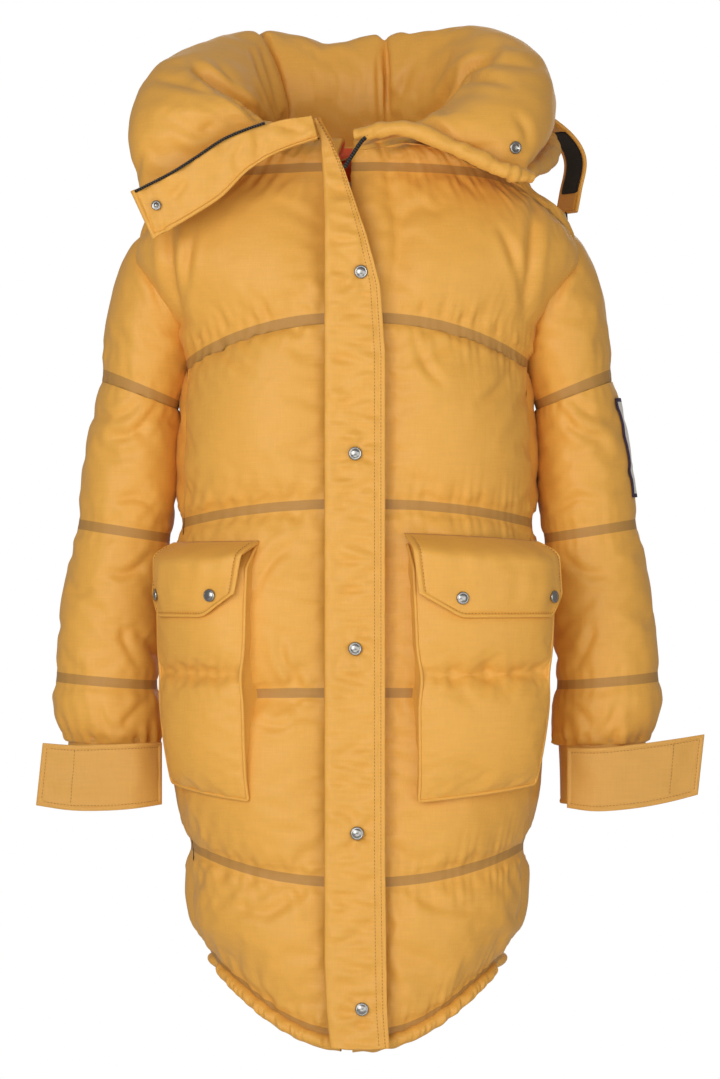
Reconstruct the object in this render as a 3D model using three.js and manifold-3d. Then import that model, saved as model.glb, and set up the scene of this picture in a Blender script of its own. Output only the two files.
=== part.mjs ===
// A long, down-filled parka on a wearer's shape: quilted body, wide open collar, snap placket over
// a two-way front zip, two bellows pockets with flaps, jointed sleeves and wide cuff straps.
// Millimetres. +Z is up, the front faces -Y and the wearer's left is +X. The origin is on the
// hanger loop, at the middle of the back neck seam.
import * as THREE from "three";
import { mergeVertices } from "three/addons/utils/BufferGeometryUtils.js";
import Module from "manifold-3d";

const wasm = await Module();
wasm.setup();

// Driving dimensions.
const MID_Y = -42; // the plane between the front and the back of the body
const WALL = 26; // shell, down and inner cloth of a body panel
const GAP = 0.4; // clearance between pieces that touch
const FRONT_X = -16; // where the two halves of the zip meet
const FRONT_SLOT = 18; // width of the gap between the front panels, which the zip fills
const CHEST_SLOT_EXTRA = 8; // the chest is open wider, so that the zip swings out past it
const SEAM_Z = -185; // the taped seam under the chest
const NECK_Z = 4;
const SIDE_ANGLE = 80; // seam between front and side panel, in degrees from the middle of the front
const BACK_ANGLE = 124; // seam between side and back panel
const HEM_SIDE_Z = -852;
const HEM_FRONT_DROP = 76;
const HEM_BACK_DROP = 22;
const HEM_CASING = 14; // height of the gathered hem casing
const SQUARENESS = 2.3; // exponent of the superellipse that a body section is
const LINING = { gap: 2.2, thick: 1.5 };

const PLACKET = { left: -34, right: 29, top: -118, bottom: -944, thick: 3, clear: 3.6 };
const PLACKET_SNAPS = [[4, -135], [-2, -323], [-2, -525], [0, -716], [5, -898]]; // x, z
const SNAP_RADIUS = 7;
const POCKET = { top: -438, bottom: -683, depth: 25, foot: 12, skin: 3.5 };
const POCKET_ANGLES = { right: [29, 74], left: [12.5, 71] };
const FLAP = { top: -404, bottom: -492, thick: 3, clear: 2, chamfer: 26 };

const ZIP = { bottom: -912, top: -119, teethHalf: 2.8, divider: 1.2, tape: 4.4 };
const SLIDER = { z: -132, width: 8, height: 15 };

const SLEEVE_WALL = 14;
const CUFF = { half: [46, 42], wall: 6, height: 72 };
const CUFF_STRAP = { height: 66, thick: 3 };

const SHOULDER = [204, MID_Y + 12, -126]; // the middle of the left armhole
const ELBOW_Z = -400;
const RAISE_MAX = 50; // degrees that a sleeve swings out from where it hangs
const SWEEP_CLEAR = 3.4; // clearance round a sleeve as it swings
const SWEEP_STEPS = 10; // places on the way up at which the body is cleared for the sleeve
const ARMHOLE_REACH = { out: 6, in: 70 }; // how far the armhole's cut runs either way

// Body sections from the hem to the neck: height, half-width, depth to the front and to the back.
const SECTIONS = [
  [-945, 150, 132, 104], [-880, 158, 135, 110], [-820, 176, 137, 118], [-753, 184, 137, 122],
  [-664, 192, 137, 128], [-569, 192, 137, 130], [-475, 190, 137, 128], [-378, 186, 137, 124],
  [-265, 184, 137, 122], [-185, 188, 137, 122], [-140, 208, 132, 119], [-105, 226, 124, 112],
  [-82, 224, 116, 106], [-60, 210, 106, 97], [-42, 184, 97, 88], [-26, 148, 89, 81],
  [-12, 108, 82, 75], [NECK_Z + 2, 74, 76, 70],
];

// Rings of the wearer's left sleeve from the armhole to the wrist: centre, half-width, half-depth
// and how far the ring leans from level, in degrees.
const SLEEVE = [
  { at: SHOULDER, half: [62, 66], lean: 64 },
  { at: [222, MID_Y + 16, -214], half: [50, 64], lean: 30 },
  { at: [236, MID_Y + 19, -300], half: [46, 61], lean: 14 },
  { at: [245, MID_Y + 20, ELBOW_Z], half: [49, 60], lean: 0 },
  { at: [258, MID_Y + 20, -505], half: [49, 58], lean: 6 },
  { at: [265, MID_Y + 16, -580], half: [50, 52], lean: 4 },
  { at: [262, MID_Y + 12, -618], half: [46, 44], lean: 0 },
];
const ELBOW_T = 0.5; // where the elbow lies from the first ring to the last

const COLOURS = {
  shell: 0xdfa34f, tape: 0xb9823f, lining: 0xe8552b, black: 0x1c1b1a, metal: 0xb9b7b2, patch: 0xe6e0d2,
};
const material = (colour, roughness, metalness = 0) =>
  new THREE.MeshStandardMaterial({ color: COLOURS[colour], roughness, metalness });
const MATERIALS = {
  shell: material("shell", 0.6), lining: material("lining", 0.5), black: material("black", 0.8),
  metal: material("metal", 0.25, 1), patch: material("patch", 0.8), tape: material("tape", 0.7),
};

const coat = new THREE.Group();
const rad = THREE.MathUtils.degToRad;
const mix = THREE.MathUtils.lerp;

function add(name, geometry, look = "shell", parent = coat) {
  const mesh = new THREE.Mesh(geometry, MATERIALS[look]);
  mesh.name = name;
  parent.add(mesh);
  return mesh;
}

// Manifold solids and geometries, one to the other.
function solid(geometry) {
  const bare = geometry.index ? geometry.toNonIndexed() : geometry.clone();
  bare.deleteAttribute("normal");
  bare.deleteAttribute("uv");
  const merged = mergeVertices(bare, 1e-3);
  return new wasm.Manifold(new wasm.Mesh({
    numProp: 3,
    vertProperties: merged.attributes.position.array,
    triVerts: new Uint32Array(merged.index.array),
  }));
}

function geometryOf(manifold) {
  const mesh = manifold.getMesh();
  const geometry = new THREE.BufferGeometry();
  geometry.setAttribute("position", new THREE.BufferAttribute(mesh.vertProperties, 3));
  geometry.setIndex(new THREE.BufferAttribute(mesh.triVerts, 1));
  return geometry;
}

const cut = (geometry, ...tools) =>
  geometryOf(tools.reduce((body, tool) => body.subtract(tool), solid(geometry)));

// The largest body of a cut shape, without the crumbs that a cut leaves beside it.
function largest(geometry) {
  const parts = solid(geometry).decompose();
  return geometryOf(parts.sort((a, b) => b.volume() - a.volume())[0]);
}

function box(width, depth, height, x, y, z) {
  return new THREE.BoxGeometry(width, depth, height).translate(x, y, z);
}

// A closed shell between two surfaces that share their parameters u and v, each from 0 to 1.
function shell(outer, inner, across, up) {
  const points = [];
  const faces = [];
  const row = up + 1;
  const count = (across + 1) * row;
  for (const surface of [outer, inner])
    for (let i = 0; i <= across; i++)
      for (let j = 0; j <= up; j++) points.push(...surface(i / across, j / up));
  const quad = (a, b, c, d) => faces.push(a, b, c, a, c, d);
  for (let i = 0; i < across; i++)
    for (let j = 0; j < up; j++) {
      const a = i * row + j;
      quad(a, a + row, a + row + 1, a + 1);
      quad(a + count, a + count + 1, a + count + row + 1, a + count + row);
    }
  for (let i = 0; i < across; i++)
    for (const [j, turned] of [[0, false], [up, true]]) {
      const [a, b] = [i * row + j, (i + 1) * row + j];
      if (turned) quad(a, b, b + count, a + count);
      else quad(b, a, a + count, b + count);
    }
  for (let j = 0; j < up; j++)
    for (const [i, turned] of [[0, false], [across, true]]) {
      const [a, b] = [i * row + j, i * row + j + 1];
      if (turned) quad(b, a, a + count, b + count);
      else quad(a, b, b + count, a + count);
    }
  return facingOut(points, faces);
}

// A tube: rings of points round a centre line, with a wall between an outer and an inner ring.
function tube(outer, inner, around, along) {
  const points = [];
  const faces = [];
  const count = around * (along + 1);
  for (const surface of [outer, inner])
    for (let j = 0; j <= along; j++)
      for (let i = 0; i < around; i++) points.push(...surface(i / around, j / along));
  const quad = (a, b, c, d) => faces.push(a, b, c, a, c, d);
  for (let i = 0; i < around; i++) {
    const next = (i + 1) % around;
    for (let j = 0; j < along; j++) {
      const [a, b] = [j * around + i, j * around + next];
      quad(a, b, b + around, a + around);
      quad(b + count, a + count, a + around + count, b + around + count);
    }
    const top = along * around;
    quad(next, i, i + count, next + count);
    quad(top + i, top + next, top + next + count, top + i + count);
  }
  return facingOut(points, faces);
}

// A solid of rings one above another, closed by a flat fan at each end.
function plug(ring, around, along) {
  const points = [];
  const faces = [];
  for (let j = 0; j <= along; j++)
    for (let i = 0; i < around; i++) points.push(...ring(i / around, j / along));
  for (let j = 0; j < along; j++)
    for (let i = 0; i < around; i++) {
      const next = (i + 1) % around;
      const [a, b] = [j * around + i, j * around + next];
      faces.push(a, b, b + around, a, b + around, a + around);
    }
  const top = along * around;
  for (let i = 1; i < around - 1; i++) {
    faces.push(0, i + 1, i);
    faces.push(top, top + i, top + i + 1);
  }
  return facingOut(points, faces);
}

function facingOut(points, faces) {
  let volume = 0;
  const p = (i) => new THREE.Vector3(points[3 * i], points[3 * i + 1], points[3 * i + 2]);
  for (let i = 0; i < faces.length; i += 3)
    volume += p(faces[i]).dot(p(faces[i + 1]).cross(p(faces[i + 2])));
  if (volume < 0)
    for (let i = 0; i < faces.length; i += 3) [faces[i], faces[i + 1]] = [faces[i + 1], faces[i]];
  const geometry = new THREE.BufferGeometry();
  geometry.setAttribute("position", new THREE.Float32BufferAttribute(points, 3));
  geometry.setIndex(faces);
  return geometry;
}

// --- Body ---------------------------------------------------------------------------------------

// Half-width and the two depths of the body at a height, along smooth steps between the sections.
function section(z) {
  const last = SECTIONS.length - 1;
  const k = Math.max(0, Math.min(last - 1, SECTIONS.findIndex((s) => s[0] > z) - 1));
  const after = z >= SECTIONS[last][0] ? last - 1 : k;
  const [low, high] = [SECTIONS[after], SECTIONS[after + 1]];
  const t = Math.max(0, Math.min(1, (z - low[0]) / (high[0] - low[0])));
  return [1, 2, 3].map((n) => mix(low[n], high[n], t));
}

// A point of the body at an angle from the middle of the front (0) round over the left side (90),
// at a height, and a distance inside the outer surface.
function bodyPoint(angle, z, depth = 0) {
  const [half, front, back] = section(z);
  const [s, c] = [Math.sin(rad(angle)), Math.cos(rad(angle))];
  const power = (value) => Math.sign(value) * Math.abs(value) ** (2 / SQUARENESS);
  return [
    (half - depth) * power(s),
    MID_Y - ((c > 0 ? front : back) - depth) * power(c),
    z,
  ];
}

function hemZ(angle) {
  const c = Math.cos(rad(angle));
  return HEM_SIDE_Z - (c > 0 ? HEM_FRONT_DROP : HEM_BACK_DROP) * c * c;
}

// A body panel between two angles and two heights, each a number or a function of the angle.
function panel([from, to], [low, high], [outside, inside], across, up) {
  const at = (value, angle) => (typeof value === "function" ? value(angle) : value);
  const surface = (depth) => (u, v) => {
    const angle = mix(from, to, u);
    return bodyPoint(angle, mix(at(low, angle), at(high, angle), v), depth);
  };
  return shell(surface(outside), surface(inside), across, up);
}

// --- Sleeves ------------------------------------------------------------------------------------

const mirrored = (side, [x, y, z]) => [side * x, y, z];
const sleevePath = (side) =>
  new THREE.CatmullRomCurve3(SLEEVE.map((s) => new THREE.Vector3(...mirrored(side, s.at))));

// A ring point of a sleeve: t from the shoulder (0) to the wrist (1), u once round.
function sleevePoint(side, u, t, grow) {
  const [x, y, z] = sleevePath(side).getPoint(t).toArray();
  const k = Math.min(SLEEVE.length - 2, Math.floor(t * (SLEEVE.length - 1)));
  const w = t * (SLEEVE.length - 1) - k;
  const between = (pick) => mix(pick(SLEEVE[k]), pick(SLEEVE[k + 1]), w);
  const lean = rad(between((s) => s.lean));
  const reach = (between((s) => s.half[0]) + grow) * Math.cos(2 * Math.PI * u);
  const deep = (between((s) => s.half[1]) + grow) * Math.sin(2 * Math.PI * u);
  return [x + side * reach * Math.cos(lean), y + deep, z + reach * Math.sin(lean)];
}

const sleeveTube = (side, from, to, rings) =>
  tube(
    (u, v) => sleevePoint(side, u, mix(from, to, v), 0),
    (u, v) => sleevePoint(side, u, mix(from, to, v), -SLEEVE_WALL),
    20, rings,
  );

// The direction from a sleeve's first ring into the body.
function inward(side) {
  const lean = rad(SLEEVE[0].lean);
  return [-side * Math.sin(lean), 0, Math.cos(lean)];
}

// A closed plug of the sleeve's outer shape, grown all round, for clearing what it swings past.
function sleevePlug(side, from, to, grow) {
  const body = solid(plug((u, v) => sleevePoint(side, u, mix(from, to, v), grow), 14, 3));
  return body.add(body.translate(inward(side).map((part) => part * grow))).hull();
}

// The arm's way from the body into the sleeve, through the body's wall.
function armhole(side) {
  const [x, y, z] = mirrored(side, SHOULDER);
  const lean = rad(SLEEVE[0].lean);
  const [inX, , inZ] = inward(side);
  const ring = (u, v) => {
    const turn = 2 * Math.PI * u;
    const reach = (SLEEVE[0].half[0] - SLEEVE_WALL) * Math.cos(turn);
    const deep = (SLEEVE[0].half[1] - SLEEVE_WALL) * Math.sin(turn);
    const off = mix(-ARMHOLE_REACH.out, ARMHOLE_REACH.in, v);
    return [
      x + side * reach * Math.cos(lean) + inX * off,
      y + deep,
      z + reach * Math.sin(lean) + inZ * off,
    ];
  };
  return solid(plug(ring, 14, 1));
}

const turnedAbout = (body, point, degrees, axis) => {
  const back = point.map((value) => -value);
  const angles = axis.map((value) => value * degrees);
  return body.translate(back).rotate(angles).translate(point);
};

// All that a sleeve sweeps from where it hangs to where it is raised, with clearance.
function sleeveSweep(side, clearance) {
  const pivot = mirrored(side, SHOULDER);
  const upper = sleevePlug(side, 0, 0.34, clearance);
  return Array.from({ length: SWEEP_STEPS + 1 }, (_, i) => i / SWEEP_STEPS)
    .map((part) => turnedAbout(upper, pivot, -side * part * RAISE_MAX, [0, 1, 0]))
    .reduce((all, body) => all.add(body));
}

const SWEEPS = [-1, 1].flatMap((side) => [sleeveSweep(side, SWEEP_CLEAR), armhole(side)]);
const WIDE_SWEEPS = [-1, 1].map((side) => sleeveSweep(side, 7)); // leaves the fronts room to swing

// All that lies on the far side of the zip from a front panel, and half of the zip's own slot.
const beyondZip = (side, extra = 0) =>
  solid(box(400, 200, 1200, FRONT_X + side * (FRONT_SLOT / 2 + extra - 200), MID_Y - 130, -450));

const skin = [WALL + LINING.gap, WALL + LINING.gap + LINING.thick];

// The wearer's right is at -X, so each right-hand panel runs over negative angles.
const SIDES = [["right", -1], ["left", 1]];
const SEAM = 0.2; // half the gap of an upright seam, in degrees
const FRONT_SEAM = 0.8; // the same at a front panel's edge, which swings against the side
const PAST_MIDDLE = 12; // degrees that the left front runs on past the middle, up to the zip
const hemCasingTop = (angle) => hemZ(angle) - 1.6;
const hemCasingFoot = (angle) => hemZ(angle) - HEM_CASING;

function frontPieces(name, side) {
  const start = side > 0 ? -PAST_MIDDLE : 0;
  const angles = [start, side * (SIDE_ANGLE - FRONT_SEAM)];
  const frontSlot = beyondZip(side);
  add(`${name}_front_panel`,
    largest(cut(panel(angles, [hemZ, SEAM_Z - 1], [0, WALL], 9, 10), frontSlot, ...WIDE_SWEEPS)));
  add(`${name}_front_lining`,
    largest(cut(panel(angles, [(a) => hemZ(a) + 8, SEAM_Z - 1], skin, 8, 8), frontSlot, ...SWEEPS)),
    "lining");
  add(`hem_casing_${name}`,
    cut(panel(angles, [hemCasingFoot, hemCasingTop], [4, WALL - 4], 9, 1), frontSlot));
  const chest = panel([2 * start, side * (90 - SEAM)], [SEAM_Z + 1, NECK_Z], [0, WALL], 10, 9);
  add(`${name}_chest_panel`, largest(cut(chest, beyondZip(side, CHEST_SLOT_EXTRA), ...SWEEPS)));
  const flank = panel(
    [side * (SIDE_ANGLE + SEAM), side * (BACK_ANGLE - SEAM)], [hemZ, SEAM_Z - 1], [0, WALL], 5, 10,
  );
  add(`${name}_side_panel`, largest(cut(flank, ...SWEEPS)));
}

SIDES.forEach(([name, side]) => frontPieces(name, side));

const BACK = [BACK_ANGLE, 360 - BACK_ANGLE];
const BEHIND = [SIDE_ANGLE + SEAM, 360 - SIDE_ANGLE - SEAM];
add("back_panel", largest(cut(panel(BACK, [hemZ, SEAM_Z - 1], [0, WALL], 10, 10), ...SWEEPS)));
add("back_yoke", largest(cut(panel([90 + SEAM, 270 - SEAM], [SEAM_Z + 1, NECK_Z], [0, WALL], 16, 8), ...SWEEPS)));
add("hem_casing_back", panel(BEHIND, [hemCasingFoot, hemCasingTop], [4, WALL - 4], 16, 1));
add("back_lining", largest(cut(
  panel(BEHIND, [(a) => hemZ(a) + 8, SEAM_Z - 1], skin, 16, 8),
  ...SWEEPS,
)), "lining");
add("yoke_lining", largest(cut(
  panel([100, 260], [SEAM_Z + 1, NECK_Z - 10], skin.map((depth) => depth + 1.4), 16, 8), ...SWEEPS,
)), "lining");

// --- Placket, snaps and zip -----------------------------------------------------------------------

const FRONT_Y = bodyPoint(0, -400)[1];
const PLACKET_Y = FRONT_Y - PLACKET.clear - PLACKET.thick / 2;

// A snap's cap or stud: a low dome on the axis, turned so that it faces away from the coat.
function snap(radius, height, [x, y, z], heading = 0) {
  const rim = height * 0.35;
  const profile = [[0, 0], [radius, 0], [radius, rim], [radius * 0.8, height * 0.8], [0, height]];
  return new THREE.LatheGeometry(profile.map(([r, h]) => new THREE.Vector2(r, h)), 14)
    .rotateX(Math.PI)
    .rotateZ(rad(heading))
    .translate(x, y, z);
}

function placket() {
  const width = PLACKET.right - PLACKET.left;
  const height = PLACKET.top - PLACKET.bottom;
  const middle = [(PLACKET.left + PLACKET.right) / 2, (PLACKET.top + PLACKET.bottom) / 2];
  add("placket", box(width, PLACKET.thick, height, middle[0], PLACKET_Y, middle[1]));
  const capY = PLACKET_Y - PLACKET.thick / 2 - GAP;
  PLACKET_SNAPS.forEach(([x, z], i) =>
    add(`placket_snap_cap_${i + 1}`, snap(SNAP_RADIUS, 2.6, [x, capY, z]), "metal"));
}

// The studs that the caps close on, riveted through one stay strip on the left front.
function studStrip() {
  const strip = { width: 12, thick: 0.8, x: 1.5 };
  const y = FRONT_Y - GAP - strip.thick / 2;
  const [top, bottom] = [PLACKET_SNAPS[0][1] + 10, PLACKET_SNAPS.at(-1)[1] - 10];
  const body = PLACKET_SNAPS.reduce(
    (all, [, z]) => all.add(solid(snap(4.5, 2.2, [strip.x, y, z]))),
    solid(box(strip.width, strip.thick, top - bottom, strip.x, y, (top + bottom) / 2)),
  );
  add("placket_stud_strip", geometryOf(body), "tape");
}

const ZIP_Y = FRONT_Y + 11;

function zip() {
  const height = ZIP.top - ZIP.bottom;
  const z = (ZIP.top + ZIP.bottom) / 2;
  for (const [name, side] of SIDES) {
    const teethX = FRONT_X + side * (ZIP.divider + ZIP.teethHalf / 2);
    const tapeX = FRONT_X + side * (ZIP.divider + ZIP.teethHalf + GAP + ZIP.tape / 2);
    add(`${name}_zip_teeth`, box(ZIP.teethHalf, 3.6, height, teethX, ZIP_Y, z), "black");
    add(`${name}_zip_tape`, box(ZIP.tape, 0.8, height, tapeX, ZIP_Y, z), "black");
  }
  const { width, height: tall } = SLIDER;
  const plates = solid(box(width, 2.4, tall, FRONT_X, ZIP_Y - 4.2, SLIDER.z))
    .add(solid(box(width, 1.6, tall, FRONT_X, ZIP_Y + 3.8, SLIDER.z)))
    .add(solid(box(1.4, 8, 4, FRONT_X, ZIP_Y, SLIDER.z + tall / 2 - 2)));
  add("zip_slider", geometryOf(plates), "metal");
  add("zip_pull", pull(), "metal");
}

// A pull tab with rounded ends and an eye, hanging in front of the slider.
function pull() {
  const outline = new THREE.Shape();
  outline.absarc(0, 0, 3.2, 0, Math.PI);
  outline.absarc(0, -26, 4, Math.PI, 2 * Math.PI);
  outline.closePath();
  outline.holes.push(new THREE.Path().absarc(0, -25, 2, 0, 2 * Math.PI));
  return new THREE.ExtrudeGeometry(outline, { depth: 1.6, bevelEnabled: false, curveSegments: 8 })
    .rotateX(Math.PI / 2)
    .translate(FRONT_X, ZIP_Y - 6.4, SLIDER.z + 3);
}

placket();
studStrip();
zip();

// --- Pockets --------------------------------------------------------------------------------------

// How far a pocket stands off the body at a height: full at its top and slimmer at its foot.
const pocketDepth = (z) =>
  mix(POCKET.foot, POCKET.depth, THREE.MathUtils.smoothstep(z, POCKET.bottom, POCKET.bottom + 130));

function pocket(name, side) {
  const [from, to] = POCKET_ANGLES[name].map((a) => side * a);
  const rim = side * 1.2;
  const block = (angles, [low, high], off, out) => shell(
    (u, v) => {
      const z = mix(low, high, v);
      return bodyPoint(mix(...angles, u), z, -pocketDepth(z) + out);
    },
    (u, v) => bodyPoint(mix(...angles, u), mix(low, high, v), -off),
    8, 6,
  );
  const pouch = solid(block([from, to], [POCKET.bottom, POCKET.top], 1, 0));
  const hollow = solid(block(
    [from + rim, to - rim], [POCKET.bottom + POCKET.skin, POCKET.top + 8], 1 + POCKET.skin, POCKET.skin,
  ));
  add(`${name}_pocket`, geometryOf(pouch.subtract(hollow)));
  flap(name, side, from, to);
}

// A flap: sewn to the body above the pocket's mouth, then standing just clear of the pouch.
function flap(name, side, from, to) {
  const wide = side * 0.9;
  const [left, right] = [from - wide, to + wide];
  const rise = (v) => THREE.MathUtils.smoothstep(1 - v, 0, 0.16);
  const foot = (u) => {
    const edge = Math.min(u, 1 - u) / 0.17;
    return mix(FLAP.bottom + FLAP.chamfer, FLAP.bottom, Math.min(1, edge));
  };
  const surface = (out) => (u, v) => {
    const z = mix(foot(u), FLAP.top, v);
    const stand = mix(2, POCKET.depth + FLAP.clear, rise(v));
    return bodyPoint(mix(left, right, u), z, -stand - out);
  };
  add(`${name}_pocket_flap`, shell(surface(FLAP.thick), surface(0), 12, 6));
  for (const [i, u] of [0.17, 0.83].entries()) {
    const angle = mix(left, right, u);
    const at = bodyPoint(angle, FLAP.bottom + 20, -POCKET.depth - FLAP.clear - FLAP.thick - 1.2);
    const ahead = bodyPoint(angle + 1, FLAP.bottom + 20, -POCKET.depth);
    const behind = bodyPoint(angle - 1, FLAP.bottom + 20, -POCKET.depth);
    const heading = THREE.MathUtils.radToDeg(Math.atan2(ahead[1] - behind[1], ahead[0] - behind[0]));
    add(`${name}_flap_snap_cap_${i + 1}`, snap(SNAP_RADIUS - 0.5, 2.6, at, heading), "metal");
  }
}

SIDES.forEach(([name, side]) => pocket(name, side));

// --- Sleeves, cuffs and straps ----------------------------------------------------------------------

const ELBOW = SLEEVE[3];
const WRIST = SLEEVE.at(-1);
const ELBOW_FOLD = 42; // degrees that each side of the notch takes up
const ELBOW_TURN = 12; // degrees that the elbow's axis is turned, so that the forearm swings outwards

// What has to go at the inside of the elbow so that the forearm can fold up.
function wedge(side, up) {
  const [x, y, z] = mirrored(side, ELBOW.at);
  const reach = ELBOW.half[1] + 16;
  const rise = reach * Math.tan(rad(ELBOW_FOLD));
  const shape = new THREE.Shape([
    new THREE.Vector2(y, z), new THREE.Vector2(y - reach, z + up * rise),
    new THREE.Vector2(y - reach, z - up * 10), new THREE.Vector2(y, z - up * 10),
  ]);
  return solid(new THREE.ExtrudeGeometry(shape, { depth: 140, bevelEnabled: false })
    .applyMatrix4(new THREE.Matrix4().set(0, 0, 1, -70, 1, 0, 0, 0, 0, 1, 0, 0, 0, 0, 0, 1))
    .translate(0, -y, 0)
    .rotateZ(side * rad(ELBOW_TURN))
    .translate(x, y, 0));
}

function cuffBand(side) {
  const [x, y, z] = mirrored(side, WRIST.at);
  const ring = (grow) => (u, v) => {
    const turn = 2 * Math.PI * u;
    const taper = 1 - 0.06 * v;
    return [
      x + (CUFF.half[0] * taper + grow) * Math.cos(turn),
      y + (CUFF.half[1] * taper + grow) * Math.sin(turn),
      z - 2 - v * CUFF.height,
    ];
  };
  return tube(ring(0), ring(-CUFF.wall), 20, 2);
}

// A strap is a gently bowed strip: it starts on the cuff and runs past it.
function strap(points, lift) {
  const path = new THREE.CatmullRomCurve3(points.map((p) => new THREE.Vector3(...p)));
  const surface = (out) => (u, v) => {
    const p = path.getPoint(u);
    const along = path.getTangent(u);
    const face = new THREE.Vector3(along.y, -along.x, 0).normalize();
    const z = p.z + lift * u + (v - 0.5) * CUFF_STRAP.height;
    return [p.x + face.x * out, p.y + face.y * out, z];
  };
  return shell(surface(0), surface(CUFF_STRAP.thick), 8, 1);
}

for (const [name, side] of SIDES) {
  const upper = sleeveTube(side, 0, ELBOW_T - 0.003, 6);
  const fore = sleeveTube(side, ELBOW_T + 0.003, 1, 6);
  add(`${name}_upper_sleeve`, cut(upper, wedge(side, 1)));
  add(`${name}_forearm_sleeve`, cut(fore, wedge(side, -1)));
  add(`${name}_cuff`, cuffBand(side));
}
const STRAP_Z = -659;
add("right_cuff_strap", strap(
  [[-214, -78, STRAP_Z], [-240, -92, STRAP_Z], [-280, -96, STRAP_Z], [-338, -88, STRAP_Z]], 4,
));
add("left_cuff_strap", strap(
  [[222, -86, STRAP_Z - 2], [262, -98, STRAP_Z - 2], [312, -96, STRAP_Z], [366, -84, STRAP_Z]], 12,
));

// A badge panel on the wearer's left arm, lying flat against the sleeve's outer side.
const PATCH = { size: [1.6, 68, 94], at: [289.5, MID_Y + 20, -327], lean: 10.7 };
add("sleeve_patch", new THREE.BoxGeometry(...PATCH.size), "patch");
coat.getObjectByName("sleeve_patch").position.set(...PATCH.at);
coat.getObjectByName("sleeve_patch").rotation.y = rad(-PATCH.lean);

// --- Collar -----------------------------------------------------------------------------------------

// A net of points, read as a smooth surface: rows along u and columns along v.
function netSurface(net) {
  const rows = net.map((row) => new THREE.CatmullRomCurve3(row.map((p) => new THREE.Vector3(...p))));
  return (u, v) => new THREE.CatmullRomCurve3(rows.map((row) => row.getPoint(v))).getPoint(u);
}

function thickNet(net, thickness, across, up, step = 0.02) {
  const at = netSurface(net);
  const offset = (distance) => (u, v) => {
    const [u0, u1] = [Math.max(0, u - step), Math.min(1, u + step)];
    const [v0, v1] = [Math.max(0, v - step), Math.min(1, v + step)];
    const du = at(u1, v).sub(at(u0, v));
    const dv = at(u, v1).sub(at(u, v0));
    const edge = 4 * Math.min(v, 1 - v, 0.25);
    const puff = mix(0.45, 1, Math.sqrt(edge));
    return at(u, v).addScaledVector(du.cross(dv).normalize(), distance * puff).toArray();
  };
  return shell(offset(thickness / 2), offset(-thickness / 2), across, up);
}

// The collar stands up behind the neck and folds down over both shoulders. Each row runs from the
// neck seam over the fold to the free edge; the rows go from the right front edge round the back.
const COLLAR = [
  [[-52, -146, 36], [-102, -160, 28], [-162, -158, 2], [-214, -140, -30]],
  [[-72, -104, 18], [-124, -112, 54], [-178, -110, 46], [-220, -94, -4]],
  [[-84, -40, 14], [-134, -38, 64], [-186, -30, 78], [-222, -22, 26]],
  [[-70, 8, 16], [-100, 4, 66], [-144, 32, 96], [-170, 72, 62]],
  [[-30, 24, 14], [-33, 12, 66], [-35, 42, 103], [-36, 88, 80]],
  [[50, 8, 16], [62, 4, 66], [100, 34, 103], [128, 76, 72]],
  [[70, -40, 14], [112, -38, 68], [158, -30, 86], [190, -22, 36]],
  [[62, -104, 18], [108, -112, 54], [154, -110, 52], [188, -94, 10]],
  [[22, -150, 26], [82, -164, 26], [134, -158, 8], [174, -142, -8]],
];
const COLLAR_THICK = 36;
const COLLAR_SPLIT = -10; // the wings turn up in front of this plane

const NECK = { inner: WALL - 4, outer: 2, top: NECK_Z + 9 };
const neckRing = (depth, clear = 0) => (u, v) =>
  bodyPoint(360 * u + 0.001, NECK_Z, depth).with(2, mix(NECK_Z + GAP - clear, NECK.top + clear, v));
const bodyGrown = solid(plug((u, v) => bodyPoint(360 * u, mix(-300, NECK_Z + 1.5, v), -2), 40, 24));
const neckGrown = solid(plug(neckRing(NECK.outer - 1.2, 1), 40, 1));

function collar() {
  const whole = solid(thickNet(COLLAR, COLLAR_THICK, 24, 8, 0.08)).subtract(bodyGrown).subtract(neckGrown);
  const before = solid(box(900, 400, 600, 0, COLLAR_SPLIT - 200, 0));
  const behind = solid(box(900, 400, 600, 0, COLLAR_SPLIT + GAP + 200, 0));
  const rightSide = solid(box(600, 900, 600, FRONT_X - 300, 0, 0));
  const leftSide = solid(box(600, 900, 600, FRONT_X + 300, 0, 0));
  const biggest = (body) => body.decompose().sort((a, b) => b.volume() - a.volume())[0];
  add("collar_back", geometryOf(biggest(whole.intersect(behind))));
  add("right_collar_wing", geometryOf(biggest(whole.intersect(before).intersect(rightSide))));
  add("left_collar_wing", geometryOf(biggest(whole.intersect(before).intersect(leftSide))));
  const band = tube(neckRing(NECK.outer), neckRing(NECK.inner), 36, 1);
  add("neck_band", largest(cut(band, solid(box(FRONT_SLOT + 26, 60, 60, FRONT_X + 8, -115, NECK_Z)))));
}

collar();

// A strip with a square section along a line of points, its width lying along a given direction.
function strip(points, width, thick, wide) {
  const path = new THREE.CatmullRomCurve3(points.map((p) => new THREE.Vector3(...p)));
  const broad = new THREE.Vector3(...wide).normalize();
  const surface = (out) => (u, v) => {
    const face = path.getTangent(u).cross(broad).normalize();
    return path.getPoint(u).addScaledVector(broad, (v - 0.5) * width)
      .addScaledVector(face, out).toArray();
  };
  return shell(surface(thick / 2), surface(-thick / 2), 8, 1);
}

// The upper end of the placket: it turns outwards to join the storm flap of the collar.
function placketTop() {
  const rows = [
    [[-34, -183.7, -116.6], [29, -183.7, -116.6]],
    [[-35, -178, -84], [22, -178, -82]],
    [[-38, -168, -48], [6, -168, -46]],
    [[-46, -164, -12], [-14, -166, -6]],
  ];
  add("placket_top", thickNet(rows, PLACKET.thick, 8, 3));
}

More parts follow.
